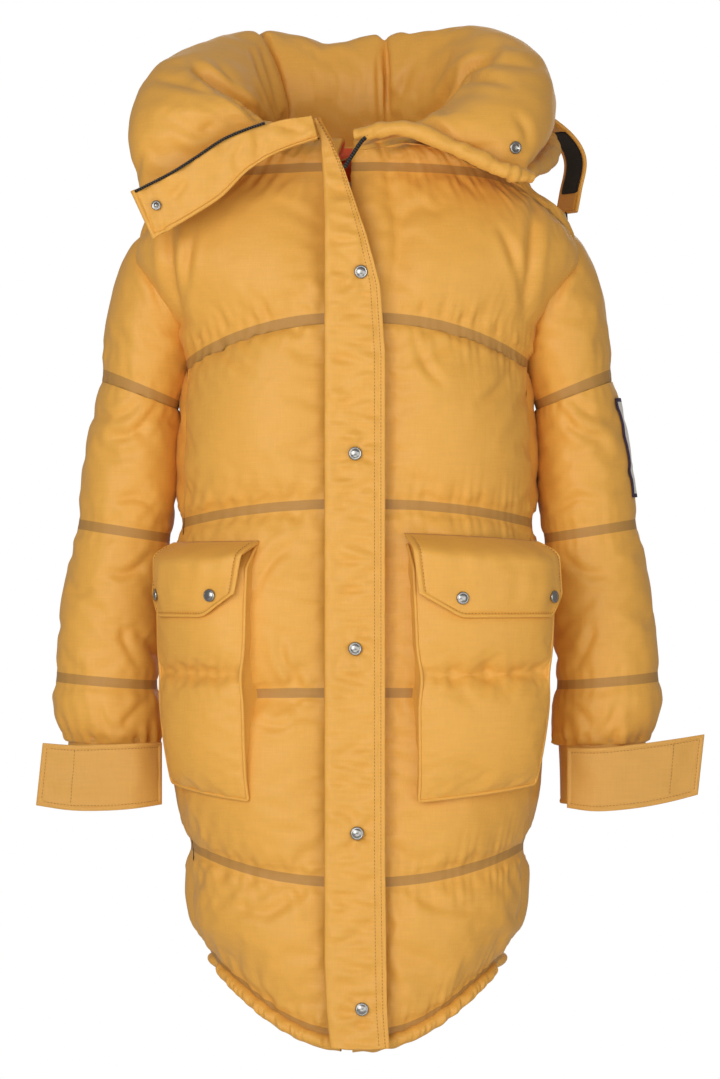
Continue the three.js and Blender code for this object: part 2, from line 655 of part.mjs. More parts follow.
// The flat flap along the right wing's front edge: from the zip (first column) to its free edge.
const STORM_FLAP = [
  [[-66, -186, 24], [-58, -184, 10]],
  [[-86, -187, 18], [-78, -184, -2]],
  [[-133, -188, 2], [-107, -184, -27]],
  [[-165, -188, -19], [-137, -184, -57]],
  [[-191, -186, -35], [-176, -182, -82]],
  [[-229, -182, -50], [-221, -178, -100]],
];
const FLAP_THICK = 3.6;

function collarTrim() {
  add("collar_storm_flap", thickNet(STORM_FLAP, FLAP_THICK, 10, 2));
  const ahead = (points, off) => points.map(([x, y, z]) => [x, y - off, z + 3]);
  const zipLine = STORM_FLAP.map((row) => row[0]);
  add("right_collar_zip", strip(ahead(zipLine, 4.5), 5, 2.4, [0.45, 0, 1]), "black");
  const leftZip = [[-4, -168, -14], [6, -177, 2], [22, -184, 10], [60, -190, 12]];
  add("left_collar_zip", strip(leftZip, 5, 2.4, [0.3, 0, 1]), "black");
  const post = snap(5, 2.4, [-208, -186.5, -70]);
  add("collar_snap_stud", post, "metal");
  add("collar_snap_socket", snap(6.5, 2.4, [170, -171, -6], 12), "metal");
}

// The throat tab at the collar's left back corner, the hook-and-loop pad on it, and its drawcord.
const TAB = [[196, 26, 44], [214, 28, 24], [226, 30, -2], [222, 32, -34], [220, 34, -52]];
const CORD = { radius: 1.25, from: [220.5, 34, -56], drop: 118 };

function throatTab() {
  add("throat_tab", strip(TAB, 40, 4, [0, 1, 0]), "tape");
  const inside = TAB.slice(1, 4).map(([x, y, z]) => [x - 4.2, y, z]);
  add("throat_tab_pad", strip(inside, 30, 2, [0, 1, 0]), "black");
  const [x, y, z] = CORD.from;
  const end = z - CORD.drop;
  const path = new THREE.CatmullRomCurve3(
    [[x, y, z], [x, y + 10, z - 22], [x - 2, y + 14, z - 66], [x - 4, y + 14, end]]
      .map((p) => new THREE.Vector3(...p)),
  );
  const section = new THREE.Shape().absarc(0, 0, CORD.radius, 0, 2 * Math.PI);
  add("drawcord", new THREE.ExtrudeGeometry(section, {
    steps: 20, curveSegments: 4, bevelEnabled: false, extrudePath: path,
  }), "black");
}

placketTop();
collarTrim();
throatTab();

// The hanger loop at the back of the neck, and a blank label under it.
add("hanger_loop", strip([[-24, -2.6, -15], [-20, -2.6, -5], [0, -2.6, -0.8], [20, -2.6, -5],
  [24, -2.6, -15]], 1.6, 1.4, [0, 1, 0]), "tape");
add("neck_label", panel([168, 192], [-58, -26], [31.8, 32.8], 4, 1), "patch");

export default coat;
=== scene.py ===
"""Looks of a long quilted down parka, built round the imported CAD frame.

Sizes are in millimetres up to mesh_object, which turns them into metres. +Z is up, the front faces -Y
and the wearer's left is +X. The origin is on the hanger loop at the back of the neck.
"""
import math

import bpy
import numpy as np
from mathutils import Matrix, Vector


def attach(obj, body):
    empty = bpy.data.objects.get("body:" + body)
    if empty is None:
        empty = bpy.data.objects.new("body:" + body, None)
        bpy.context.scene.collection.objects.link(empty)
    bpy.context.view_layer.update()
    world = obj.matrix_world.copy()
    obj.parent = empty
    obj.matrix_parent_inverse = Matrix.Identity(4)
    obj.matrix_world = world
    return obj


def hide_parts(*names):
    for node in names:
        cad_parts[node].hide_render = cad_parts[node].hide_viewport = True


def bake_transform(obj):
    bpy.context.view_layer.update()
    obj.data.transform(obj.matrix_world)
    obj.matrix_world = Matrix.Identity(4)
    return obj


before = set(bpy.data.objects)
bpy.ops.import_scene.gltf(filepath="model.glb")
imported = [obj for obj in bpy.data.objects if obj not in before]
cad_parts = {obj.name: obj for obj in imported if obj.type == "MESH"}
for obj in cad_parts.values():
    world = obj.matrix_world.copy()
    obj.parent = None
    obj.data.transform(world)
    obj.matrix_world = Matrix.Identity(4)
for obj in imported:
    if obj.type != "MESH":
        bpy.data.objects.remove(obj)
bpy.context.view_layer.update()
MM = 0.001

# ---- Driving sizes ----
MID_Y = -42  # the plane between the front and the back of the body
SQUARENESS = 2.3  # exponent of the superellipse that a body section is
TAPE_HALF = 6.2  # half the width of a seam tape
CELL = 6.0  # size of a cloth cell
SIDE_ANGLE = 80  # seam between front and side, in degrees from the middle of the front
HEM_CASING = 14
SIDES = (("right", -1), ("left", 1))
FRONTS = (("right", -1, -25), ("left", 1, -7))  # the fronts' names, sides and the x of their edges
ZIP_X = -16  # the middle of the zip
PLACKET_BED = {"right": -34, "left": 31}  # x of the lines between which the fronts lie flat under the placket
LINING = {"inset": 29, "puff": 10, "cell": 14}

# Body sections: height, half-width, depth to the front and to the back.
SECTIONS = np.array([
    [-945, 140, 132, 104], [-880, 153, 135, 110], [-850, 164, 136, 114], [-820, 178, 137, 118],
    [-753, 184, 137, 122], [-664, 195, 137, 128], [-569, 196, 137, 130], [-475, 197, 137, 128],
    [-378, 195, 137, 124], [-265, 190, 137, 122], [-185, 193, 137, 122], [-150, 214, 133, 120],
    [-122, 238, 128, 115], [-100, 242, 122, 110], [-78, 234, 115, 104], [-58, 218, 108, 97],
    [-40, 196, 101, 90], [-24, 184, 95, 86], [-8, 166, 90, 80], [6, 134, 83, 74], [16, 100, 76, 68],
])

# Rings of the left sleeve: centre, half-width, half-depth and lean from level in degrees.
SLEEVE = np.array([
    [188, -36, -106, 52, 56, 62], [211, -31, -150, 56, 64, 50], [225, -26, -214, 51, 63, 30],
    [238.5, -23, -300, 48.5, 61, 14], [249.5, -22, -400, 54.5, 60, 9], [264, -22, -505, 56, 58, 7],
    [268.5, -26, -580, 59.5, 56, 4], [262, -29, -630, 55, 50, 2],
])
ARMHOLE = SLEEVE[1]
SLEEVE_TAPES = [-252, -403, -563]  # heights of the tapes at the middle of the sleeve

# The placket's sewn edge and free edge: height and x.
PLACKET_SEAM = np.array([[-946, -27], [-900, -32], [-850, -34], [-81, -34], [-30, -36], [2, -38], [26, -45]])
PLACKET_EDGE = np.array([
    [-946, 34], [-900, 31], [-750, 29], [-220, 29], [-149, 24], [-97, 10], [-28, -13], [4, -28], [26, -41],
])
PLACKET_SNAPS = [[4, -135], [-2, -323], [-2, -525], [0, -716], [5, -898]]
PLACKET_SPLIT = -118


def between(table, at, column=1):
    order = np.argsort(table[:, 0])
    return np.interp(at, table[order, 0], table[order, column])


def body(angle, z, inset=0.0):
    """Points of the coat's body at angles in degrees from the middle of the front, and at heights."""
    angle, z = np.broadcast_arrays(np.asarray(angle, float), np.asarray(z, float))
    half, front, back = (np.interp(z, SECTIONS[:, 0], SECTIONS[:, k]) for k in (1, 2, 3))
    s, c = np.sin(np.radians(angle)), np.cos(np.radians(angle))
    depth = np.where(c > 0, front, back)
    x = (half - inset) * np.sign(s) * np.abs(s) ** (2 / SQUARENESS)
    y = MID_Y - (depth - inset) * np.sign(c) * np.abs(c) ** (2 / SQUARENESS)
    return np.stack([x, y, z], -1)


def angle_at_x(x, z=-400.0):
    """The angle at which the front of the body is at a given x."""
    half = float(np.interp(z, SECTIONS[:, 0], SECTIONS[:, 1]))
    return math.degrees(math.asin(math.copysign((abs(x) / half) ** (SQUARENESS / 2), x)))


# ---- Curves, surfaces and meshes ----
def catmull(points, t):
    """Points at t, from 0 to 1, on the smooth curve through an array's first axis."""
    p = np.asarray(points, float)
    last = len(p) - 1
    t = np.clip(np.atleast_1d(np.asarray(t, float)), 0, 1) * last
    k = np.minimum(t.astype(int), last - 1)
    f = (t - k).reshape(-1, *[1] * (p.ndim - 1))
    q = np.concatenate([[2 * p[0] - p[1]], p, [2 * p[-1] - p[-2]]])
    a, b, c, d = (q[k + i] for i in range(4))
    square, cube = 2 * a - 5 * b + 4 * c - d, 3 * b - a - 3 * c + d
    return 0.5 * (2 * b + (c - a) * f + square * f ** 2 + cube * f ** 3)


def net(rows, u, v):
    """A grid of points on the smooth surface through rows of points, at u along the rows and v along each."""
    return catmull(np.stack([catmull(row, v) for row in rows]), u)


def unit(v):
    return v / np.maximum(np.linalg.norm(v, axis=-1, keepdims=True), 1e-9)


def grid_normals(points):
    return unit(np.cross(np.gradient(points, axis=0), np.gradient(points, axis=1)))


def ripple(points, wavelength, seed, waves=8):
    """A smooth random height, about -1 to 1, at each point."""
    rng = np.random.default_rng(seed)
    directions = unit(rng.normal(size=(waves, 3))) / (wavelength * rng.uniform(0.6, 1.5, (waves, 1)))
    phases = rng.uniform(0, 2 * math.pi, waves)
    return np.sin(2 * math.pi * points @ directions.T + phases).sum(-1) / math.sqrt(waves)


def even(length, cell):
    """Steps from 0 to 1 that divide a length into cells."""
    return np.linspace(0, 1, max(3, int(round(length / cell)) + 1))


def mesh_object(name, points, faces, materials, face_material=None):
    mesh = bpy.data.meshes.new(name)
    mesh.from_pydata((np.asarray(points, float).reshape(-1, 3) * MM).tolist(), [], faces)
    for material in materials:
        mesh.materials.append(material)
    if face_material is not None:
        mesh.polygons.foreach_set("material_index", face_material)
    mesh.polygons.foreach_set("use_smooth", [True] * len(mesh.polygons))
    obj = bpy.data.objects.new(name, mesh)
    bpy.context.scene.collection.objects.link(obj)
    return obj


def grid_faces(rows, columns, wrap=False, start=0, flip=False):
    """Quads of a grid whose point (row, column) has the index start + row * columns + column."""
    faces = []
    for i in range(rows - 1):
        for j in range(columns if wrap else columns - 1):
            a, b = start + i * columns + j, start + i * columns + (j + 1) % columns
            quad = (a, b, b + columns, a + columns)
            faces.append(quad[::-1] if flip else quad)
    return faces


def capped_faces(rows, sides):
    """Quads of a closed tube of rings, and its two ends."""
    last = (rows - 1) * sides
    return grid_faces(rows, sides, wrap=True) + [tuple(range(sides))[::-1], tuple(range(last, last + sides))]


def grid_object(name, points, materials, wrap=False, flip=False, face_material=None):
    rows, columns = points.shape[:2]
    return mesh_object(name, points, grid_faces(rows, columns, wrap, flip=flip), materials, face_material)


def coords(obj, what="co"):
    values = np.zeros(len(obj.data.vertices) * 3)
    obj.data.vertices.foreach_get(what, values)
    return values.reshape(-1, 3)


def set_coords(obj, co):
    obj.data.vertices.foreach_set("co", np.asarray(co, np.float32).ravel())
    obj.data.update()


def apply_modifiers(obj):
    depsgraph = bpy.context.evaluated_depsgraph_get()
    mesh = bpy.data.meshes.new_from_object(obj.evaluated_get(depsgraph))
    obj.modifiers.clear()
    obj.data = mesh
    return obj


def subdivided(obj, levels=1):
    modifier = obj.modifiers.new("subdivision", "SUBSURF")
    modifier.levels = modifier.render_levels = levels
    return apply_modifiers(obj)


def thickened(obj, thickness, offset=-1.0):
    modifier = obj.modifiers.new("thickness", "SOLIDIFY")
    modifier.thickness = thickness * MM
    modifier.offset = offset
    return apply_modifiers(obj)


def cloth_object(name, points, material, thickness, offset=-1.0, wrap=False, flip=False):
    """A smooth cloth of some thickness, on a grid of points."""
    return thickened(subdivided(grid_object(name, points, [material], wrap, flip)), thickness, offset)


def joined(objects):
    """One object of several, with the first one's name."""
    points, faces, kinds, materials = [], [], [], []
    for obj in objects:
        base = sum(len(p) for p in points)
        points.append(coords(obj) / MM)
        for face in obj.data.polygons:
            faces.append([base + i for i in face.vertices])
            material = obj.data.materials[face.material_index]
            if material not in materials:
                materials.append(material)
            kinds.append(materials.index(material))
    name = objects[0].name
    for obj in objects:
        bpy.data.objects.remove(obj)
    return mesh_object(name, np.concatenate(points), faces, materials, kinds)


def tube_object(name, path, radius, material, sides=8):
    """A round tube along a line of points, with closed ends. The radius may change along it."""
    path = np.asarray(path, float)
    radius = np.broadcast_to(np.asarray(radius, float), len(path))
    along = unit(np.gradient(path, axis=0))
    side = unit(np.cross(along[0], [0.31, 0.5, 0.81]))
    rings = []
    for p, t, r in zip(path, along, radius):
        side = unit(side - t * (side @ t))
        other = np.cross(t, side)
        turn = 2 * math.pi * np.arange(sides) / sides
        rings.append(p + r * (np.outer(np.cos(turn), side) + np.outer(np.sin(turn), other)))
    return mesh_object(name, np.array(rings), capped_faces(len(path), sides), [material])


def lathe_object(name, profile, place, facing, material, sides=36):
    """A turned piece: a profile of radius and height round an axis at a place."""
    facing = unit(np.asarray(facing, float))
    side = unit(np.cross(facing, [0.1, 0.2, 1.0]))
    other = np.cross(facing, side)
    turn = 2 * math.pi * np.arange(sides) / sides
    ring = np.outer(np.cos(turn), side) + np.outer(np.sin(turn), other)
    rings = np.array([np.asarray(place) + r * ring + h * facing for r, h in profile])
    return mesh_object(name, rings, capped_faces(len(profile), sides), [material])


def resampled(line, step):
    line = np.asarray(line, float)
    length = np.concatenate([[0], np.cumsum(np.linalg.norm(np.diff(line, axis=0), axis=1))])
    at = np.arange(0, length[-1], step)
    return np.stack([np.interp(at, length, line[:, k]) for k in range(3)], -1)


def stitches(name, line, material, pitch=3.6, radius=0.38):
    """A row of thread stitches along a line of points that lies on the cloth."""
    ends = resampled(line, pitch)
    points, faces = [], []
    for a, b in zip(ends[:-1], ends[1:]):
        b = a + 0.72 * (b - a)
        along = unit(b - a)
        side = unit(np.cross(along, [0.2, 1.0, 0.1])) * radius
        up = unit(np.cross(along, side)) * radius
        base = len(points)
        points += [a, b]
        points += [(a + b) / 2 + k for k in (side, up, -side, -up)]
        faces += [(base, base + 2 + i, base + 2 + (i + 1) % 4) for i in range(4)]
        faces += [(base + 1, base + 2 + (i + 1) % 4, base + 2 + i) for i in range(4)]
    return mesh_object(name, points, faces, [material])


CLOTH = {
    "quality": 5, "mass": 0.25, "tension_stiffness": 18, "compression_stiffness": 18, "shear_stiffness": 6,
    "bending_stiffness": 0.35, "tension_damping": 8, "compression_damping": 8, "shear_damping": 6,
    "air_damping": 3, "use_pressure": True, "vertex_group_mass": "pinned",
}


def inflate(obj, pinned, pressure=6.0, stretch=0.04, frames=18, cap=22.0):
    """Blows a cloth up between its pinned points by simulation, and keeps the result in the mesh."""
    start = coords(obj)
    group = obj.vertex_groups.new(name="pinned")
    group.add([int(i) for i in np.flatnonzero(pinned)], 1.0, "REPLACE")
    cloth = obj.modifiers.new("cloth", "CLOTH")
    for key, value in CLOTH.items():
        setattr(cloth.settings, key, value)
    cloth.settings.uniform_pressure_force = pressure
    cloth.settings.shrink_min = -stretch
    cloth.settings.effector_weights.gravity = 0
    cloth.collision_settings.use_collision = False
    cloth.point_cache.frame_start = 1
    cloth.point_cache.frame_end = frames
    scene = bpy.context.scene
    for number in range(1, frames + 1):
        scene.frame_set(number)
    moved = coords(obj.evaluated_get(bpy.context.evaluated_depsgraph_get()))
    scene.frame_set(1)
    obj.modifiers.clear()
    obj.vertex_groups.clear()
    way = moved - start
    length = np.linalg.norm(way, axis=1, keepdims=True)
    free = 0.6 * cap * MM
    rest = 0.4 * cap * MM
    eased = np.where(length > free, free + rest * np.tanh((length - free) / rest), length)
    set_coords(obj, start + way * eased / np.maximum(length, 1e-9))
    return obj


def dress(obj, body_name, replaces=()):
    """Puts a piece on the empty of the body it rides on when that is a name, or else bakes its place into its
    mesh; and hides the CAD parts that it stands for.
    """
    if isinstance(body_name, str):
        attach(obj, body_name)
    else:
        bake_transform(obj)
    if replaces:
        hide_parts(*replaces)
    return obj


# ---- Materials ----
def plain_material(name, colour, roughness=0.6, metallic=0.0, sheen=0.0):
    material = bpy.data.materials.new(name)
    material.use_nodes = True
    shader = material.node_tree.nodes["Principled BSDF"]
    shader.inputs["Base Color"].default_value = (*colour, 1)
    shader.inputs["Roughness"].default_value = roughness
    shader.inputs["Metallic"].default_value = metallic
    shader.inputs["Sheen Weight"].default_value = sheen
    return material


def cloth_material(name, colour, roughness, sheen, slub=0.045, crease=0.12, weave=0.12):
    """Woven cloth: fine threads both ways, a slubby tone along them, and faint creases."""
    material = plain_material(name, colour, roughness, sheen=sheen)
    nodes, links = material.node_tree.nodes, material.node_tree.links
    shader = nodes["Principled BSDF"]
    shader.inputs["Sheen Roughness"].default_value = 0.4
    shader.inputs["Sheen Tint"].default_value = (1.0, 0.86, 0.6, 1)
    shader.inputs["Specular IOR Level"].default_value = 0.35

    def node(kind, inputs, output=0, operation=None):
        """The output of a new node. Each input is a value, or another node's output to link to."""
        made = nodes.new(f"ShaderNode{kind}")
        if operation:
            made.operation = operation
        for key, value in inputs.items():
            if isinstance(value, bpy.types.NodeSocket):
                links.new(value, made.inputs[key])
            else:
                made.inputs[key].default_value = value
        return made.outputs[output]

    place = node("TexCoord", {}, "Object")

    def streaks(scale, detail=2.0):
        mapped = node("Mapping", {"Scale": scale, "Vector": place})
        return node("TexNoise", {"Scale": 1.0, "Detail": detail, "Vector": mapped}, "Fac")

    warp = streaks((800, 800, 45))
    weft = streaks((45, 45, 800))
    threads = node("Math", {0: warp, 1: weft}, operation="ADD")
    broad = streaks((14, 14, 14), 3.0)
    fine_tone = node("Math", {0: threads, 1: 0.75}, operation="MULTIPLY")
    broad_tone = node("Math", {0: broad, 1: 0.5}, operation="MULTIPLY")
    tone = node("Math", {0: fine_tone, 1: broad_tone}, operation="ADD")
    spread = {"Value": tone, "From Min": 0.7, "From Max": 1.3, "To Min": 1 - slub, "To Max": 1 + slub}
    ramp = node("MapRange", spread, "Result")
    tint = node("VectorMath", {0: colour, "Scale": ramp}, "Vector", "SCALE")
    links.new(tint, shader.inputs["Base Color"])
    weaving = node("Bump", {"Strength": weave, "Distance": 0.0004, "Height": threads}, "Normal")
    folds = {"Strength": crease, "Distance": 0.0016, "Height": streaks((70, 70, 95), 4.0), "Normal": weaving}
    links.new(node("Bump", folds, "Normal"), shader.inputs["Normal"])
    return material


SHELL = cloth_material("shell_nylon", (0.76, 0.375, 0.062), 0.5, 0.1)
# A darker copy of the shell nylon, as painted shade: the cuffs, straps and the roll under the collar's end
# are darkened for the shade they sit in.
SHELL_PAINTED_SHADE = cloth_material("shell_painted_shade", (0.66, 0.335, 0.07), 0.6, 0.1)
TAPE = cloth_material("seam_tape", (0.47, 0.235, 0.055), 0.6, 0.05)
LINING_CLOTH = cloth_material("lining_nylon", (0.86, 0.115, 0.028), 0.5, 0.0)
THREAD = plain_material("thread", (0.36, 0.18, 0.045), 0.8)
BLACK = plain_material("zip_plastic", (0.012, 0.012, 0.013), 0.42)
ZIP_TOOTH = plain_material("zip_tooth", (0.045, 0.043, 0.04), 0.35)
WEBBING = cloth_material("zip_tape", (0.014, 0.014, 0.015), 0.85, 0.05)
HOOKS = cloth_material("hook_pad", (0.016, 0.015, 0.015), 0.95, 0.15, crease=0.1, weave=1.0)
METAL = plain_material("snap_metal", (0.34, 0.33, 0.31), 0.26, metallic=1.0)
PATCH = cloth_material("blank_patch", (0.80, 0.76, 0.68), 0.85, 0.05)
PATCH_EDGE = plain_material("patch_edge", (0.035, 0.016, 0.05), 0.8)

# ---- Body shell ----
# Folds: depth, half-width and line of x and z. The sleeve's are the left one's; the right one mirrors them.
BODY_CREASES = [
    (7, 5, [(-196, -64), (-198, -104), (-194, -146), (-185, -182)]),
    (4, 4, [(-172, -92), (-178, -124), (-182, -160)]),
    (6, 5, [(186, -62), (184, -100), (180, -140), (176, -178)]),
    (4, 4, [(150, -88), (160, -108), (168, -132), (172, -158)]),
    (3, 4, [(-150, -196), (-134, -222), (-110, -240)]), (3, 4, [(160, -236), (146, -256), (128, -270)]),
    (3, 4, [(60, -200), (72, -232), (88, -250)]), (3, 5, [(-60, -410), (-90, -436), (-110, -470)]),
    (3, 4, [(70, -402), (96, -420), (140, -430)]), (3, 4, [(-60, -560), (-76, -540), (-80, -510)]),
    (3, 4, [(-50, -590), (-80, -606), (-108, -600)]), (3, 5, [(50, -772), (80, -792), (130, -800)]),
    (3, 5, [(-60, -780), (-96, -800), (-140, -792)]),
]
SLEEVE_CREASES = [
    (5, 4, [(214, -112), (204, -128), (194, -150), (186, -176)]),
    (4, 4, [(232, -118), (218, -138), (206, -168)]),
    (3, 4, [(212, -270), (232, -296), (262, -306)]), (3, 4, [(226, -262), (250, -280), (272, -282)]),
    (3, 4, [(210, -380), (234, -368), (258, -372)]), (3, 4, [(216, -425), (238, -446), (268, -450)]),
    (3, 4, [(232, -548), (246, -520), (250, -500)]), (3, 4, [(222, -582), (240, -600), (252, -616)]),
    (3, 4, [(276, -584), (270, -602), (258, -618)]),
]
BODY_INSET = 9  # how far a quilting seam lies inside the puffed surface
SHOULDER_BLEND = ((0, 0, -0.02), (0, 0, -0.118))


def seam_heights(angle):
    """Heights of the body's seams at an angle, from the neck down to the hem."""
    s = np.abs(np.sin(np.radians(angle)))
    c = np.cos(np.radians(angle))
    hem = -852 - np.where(c > 0, 76, 22) * c * c
    yoke = -21 - 9 * s ** 2 - 78 * s ** 14
    return [
        np.full_like(s, 16.0), yoke, -181 - 46 * s ** 2, -375 - 20 * s ** 2,
        -571 - 5 * s ** 2, -768 + 32 * s ** 2, hem,
    ]


def quilt_rows(lines, cell=CELL, inset=BODY_INSET):
    """Row heights, insets and seam flags between seam lines: taped bands with puffs between them."""
    rows, insets, seams = [], [], []
    for upper, lower in zip(lines[:-1], lines[1:]):
        top, foot = upper - TAPE_HALF, lower + TAPE_HALF
        count = max(3, int(round(np.mean(top - foot) / cell)))
        for i in range(count + 1):
            f = i / count
            rows.append(top + (foot - top) * f)
            insets.append(inset * (1 - max(0.0, math.sin(math.pi * f)) ** 0.6))
            seams.append(i in (0, count))
    for below, tuck in ((0, 0), (3, 3)):  # the last tape, and a lip that goes under what follows it
        rows.append(lines[-1] - TAPE_HALF - below)
        insets.append(inset + tuck)
        seams.append(True)
    return np.array(rows), np.array(insets), np.array(seams)


def body_quilt(name, angles, first, last, pinned_angles=(), faced=False, cell=CELL, seed=1):
    """A quilted stretch of the body between two seams. A faced one has cloth turned in at its first edge."""
    rows, insets, seams = quilt_rows(seam_heights(angles)[first:last + 1], cell)
    flat = body(angles, np.median(rows, axis=0), 0)
    along = np.concatenate([[0], np.cumsum(np.linalg.norm(np.diff(flat, axis=0), axis=1))])
    pins = [0, len(angles) - 1] + [int(np.argmin(np.abs(angles - a))) for a in pinned_angles]
    away = np.min([np.abs(along - along[k]) for k in pins], axis=0)
    rounding = np.sin(np.minimum(away / 34, 1) * math.pi / 2) ** 0.6
    depth = BODY_INSET - (BODY_INSET - insets[:, None]) * rounding[None, :]
    points = body(angles, rows, depth)
    points += (0.5 * ripple(points, 22, seed) * (~seams)[:, None])[..., None] * grid_normals(points)
    pinned = np.zeros(points.shape[:2], bool)
    pinned[seams] = True
    pinned[:, pins] = True
    if faced:
        facing = [body(angles[0], rows[:, 0], BODY_INSET + k) for k in (14, 7)]
        points = np.concatenate([np.stack(facing, 1), points], 1)
        pinned = np.concatenate([np.ones((len(rows), 2), bool), pinned], 1)
    columns = points.shape[1]
    faces = grid_faces(len(rows), columns, flip=angles[-1] > angles[0])
    tape = [int(seams[min(f) // columns] and seams[min(f) // columns + 1]) for f in faces]
    obj = mesh_object(name, points, faces, [SHELL, TAPE], tape)
    inflate(obj, pinned.ravel(), pressure=7.0, stretch=0.032)
    return body_puckered(subdivided(obj), seed)


def body_angle(points):
    """The body's angle at points near its surface."""
    half = np.interp(points[:, 2], SECTIONS[:, 0], SECTIONS[:, 1])
    s = np.clip(np.abs(points[:, 0]) / half, 0, 1) ** (SQUARENESS / 2)
    front = np.degrees(np.arcsin(s))
    return np.where(points[:, 1] < MID_Y, front, 180 - front) * np.sign(points[:, 0])


def puckered(obj, away, along, depth=0.9, fade=13, wavelength=10, seed=8, bare=TAPE_HALF):
    """Adds the small gathers that stand beside a seam: away is each point's distance from its seam."""
    points = coords(obj) / MM
    wave = ripple(np.stack([along, 0.22 * away, 0 * along], -1), wavelength, seed)
    beside = np.maximum(away - bare, 0)
    height = depth * wave * np.exp(-beside / fade) * np.where(
        away < bare, 0.35 * (1 - away / max(bare, 1)), np.minimum(beside / 3, 1))
    set_coords(obj, (points + coords(obj, "normal") * height[:, None]) * MM)
    return obj


def creased(obj, lines, side=1):
    """Presses folds into the front of a piece, along lines of x and z. Each has a depth and a half-width."""
    points = coords(obj) / MM
    normals = coords(obj, "normal")
    facing = np.clip(-normals[:, 1] * 3 + 0.6, 0, 1)
    push = np.zeros(len(points))
    for depth, width, line in lines:
        path = catmull(np.array(line, float), np.linspace(0, 1, 40)) * [side, 1]
        off = points[:, None, [0, 2]] - path[None]
        gap = np.linalg.norm(off, axis=2)
        nearest = gap.argmin(1)
        ease = np.sin(math.pi * np.clip(nearest / 39, 0.04, 0.96)) ** 0.5
        gap = gap.min(1)
        fold = np.exp(-(gap / width) ** 2)
        ridge = np.exp(-((gap - 2.6 * width) / width) ** 2)
        push -= depth * ease * (fold - 0.3 * ridge)
    set_coords(obj, (points + normals * (push * facing)[:, None]) * MM)
    return obj


def body_puckered(obj, seed):
    points = coords(obj) / MM
    angle = body_angle(points)
    lines = np.stack(seam_heights(angle)[1:])
    away = np.abs(points[:, 2] - lines).min(0)
    puckered(obj, away, np.radians(angle) * 190, depth=1.7, fade=16, seed=seed)
    if points[:, 1].min() < MID_Y - 100:
        edge = np.minimum(np.abs(points[:, 0] + 36), np.abs(points[:, 0] - 31))
        puckered(obj, edge, points[:, 2], depth=1.3, fade=12, wavelength=11, seed=seed + 1, bare=0)
    return creased(obj, BODY_CREASES)


def angles_from(start, end, cell=CELL):
    return np.linspace(start, end, int(abs(math.radians(end - start)) * 190 / cell) + 2)


def outside_armhole(points, side):
    """How far points lie beyond the plane of an armhole, on the sleeve's side."""
    centre = np.array([side * ARMHOLE[0], ARMHOLE[1], ARMHOLE[2]])
    lean = math.radians(ARMHOLE[5])
    outward = np.array([side * math.sin(lean), 0, -math.cos(lean)])
    return (points - centre) @ outward


def part_of(obj, name, keep):
    """A new object of the faces whose middle is where keep is true, shaded as if it were still whole."""
    points = coords(obj) / MM
    normals = coords(obj, "normal")
    middles = np.array([points[list(f.vertices)].mean(0) for f in obj.data.polygons])
    chosen = [f for f, good in zip(obj.data.polygons, keep(middles)) if good]
    faces = [list(f.vertices) for f in chosen]
    used = sorted({i for f in faces for i in f})
    number = {old: new for new, old in enumerate(used)}
    kinds = [f.material_index for f in chosen]
    numbered = [[number[i] for i in f] for f in faces]
    part = mesh_object(name, points[used], numbered, list(obj.data.materials), kinds)
    part.data.normals_split_custom_set_from_vertices(normals[used].tolist())
    return part


def trimmed(obj, keep):
    """The object without the faces whose middle is where keep is false."""
    name = obj.name
    obj.name = f"{name}_whole"
    part = part_of(obj, name, keep)
    bpy.data.objects.remove(obj)
    return part


def in_sleeve(points):
    """True at points well inside a sleeve's head, where the body's shell is left out."""
    deep = np.zeros(len(points), bool)
    for side in (-1, 1):
        off = points - np.array([side * ARMHOLE[0], ARMHOLE[1], ARMHOLE[2]])
        far = outside_armhole(points, side)
        level = np.abs(off[:, 1]) < 46
        deep |= (far > 20) & level & (points[:, 2] > -205) & (side * points[:, 0] > 150)
    return deep


def body_shell():
    for side, sign, start in FRONTS:
        edge = angle_at_x(start)
        flat_to = [angle_at_x(PLACKET_BED[side])]
        columns = angles_from(edge, sign * SIDE_ANGLE)
        lower = body_quilt(f"{side}_front_shell", columns, 2, 6, flat_to, True, seed=3 + sign)
        dress(lower, f"{side}_front", [f"{side}_front_panel"])
        columns = angles_from(edge, sign * 90)
        upper = body_quilt(f"{side}_chest_shell", columns, 0, 2, flat_to, True, seed=7 + sign)
        upper = trimmed(upper, lambda p: ~in_sleeve(p))
        dress(upper, ("coat_body", f"{side}_front", *SHOULDER_BLEND), [f"{side}_chest_panel"])
    columns = angles_from(SIDE_ANGLE, 360 - SIDE_ANGLE, 10)
    back = body_quilt("back_shell", columns, 2, 6, cell=9, seed=11)
    dress(back, "coat_body", ["back_panel", "right_side_panel", "left_side_panel"])
    yoke = body_quilt("yoke_shell", angles_from(90, 270, 10), 0, 2, cell=9, seed=12)
    yoke = trimmed(yoke, lambda p: ~in_sleeve(p))
    dress(yoke, "coat_body", ["back_yoke"])


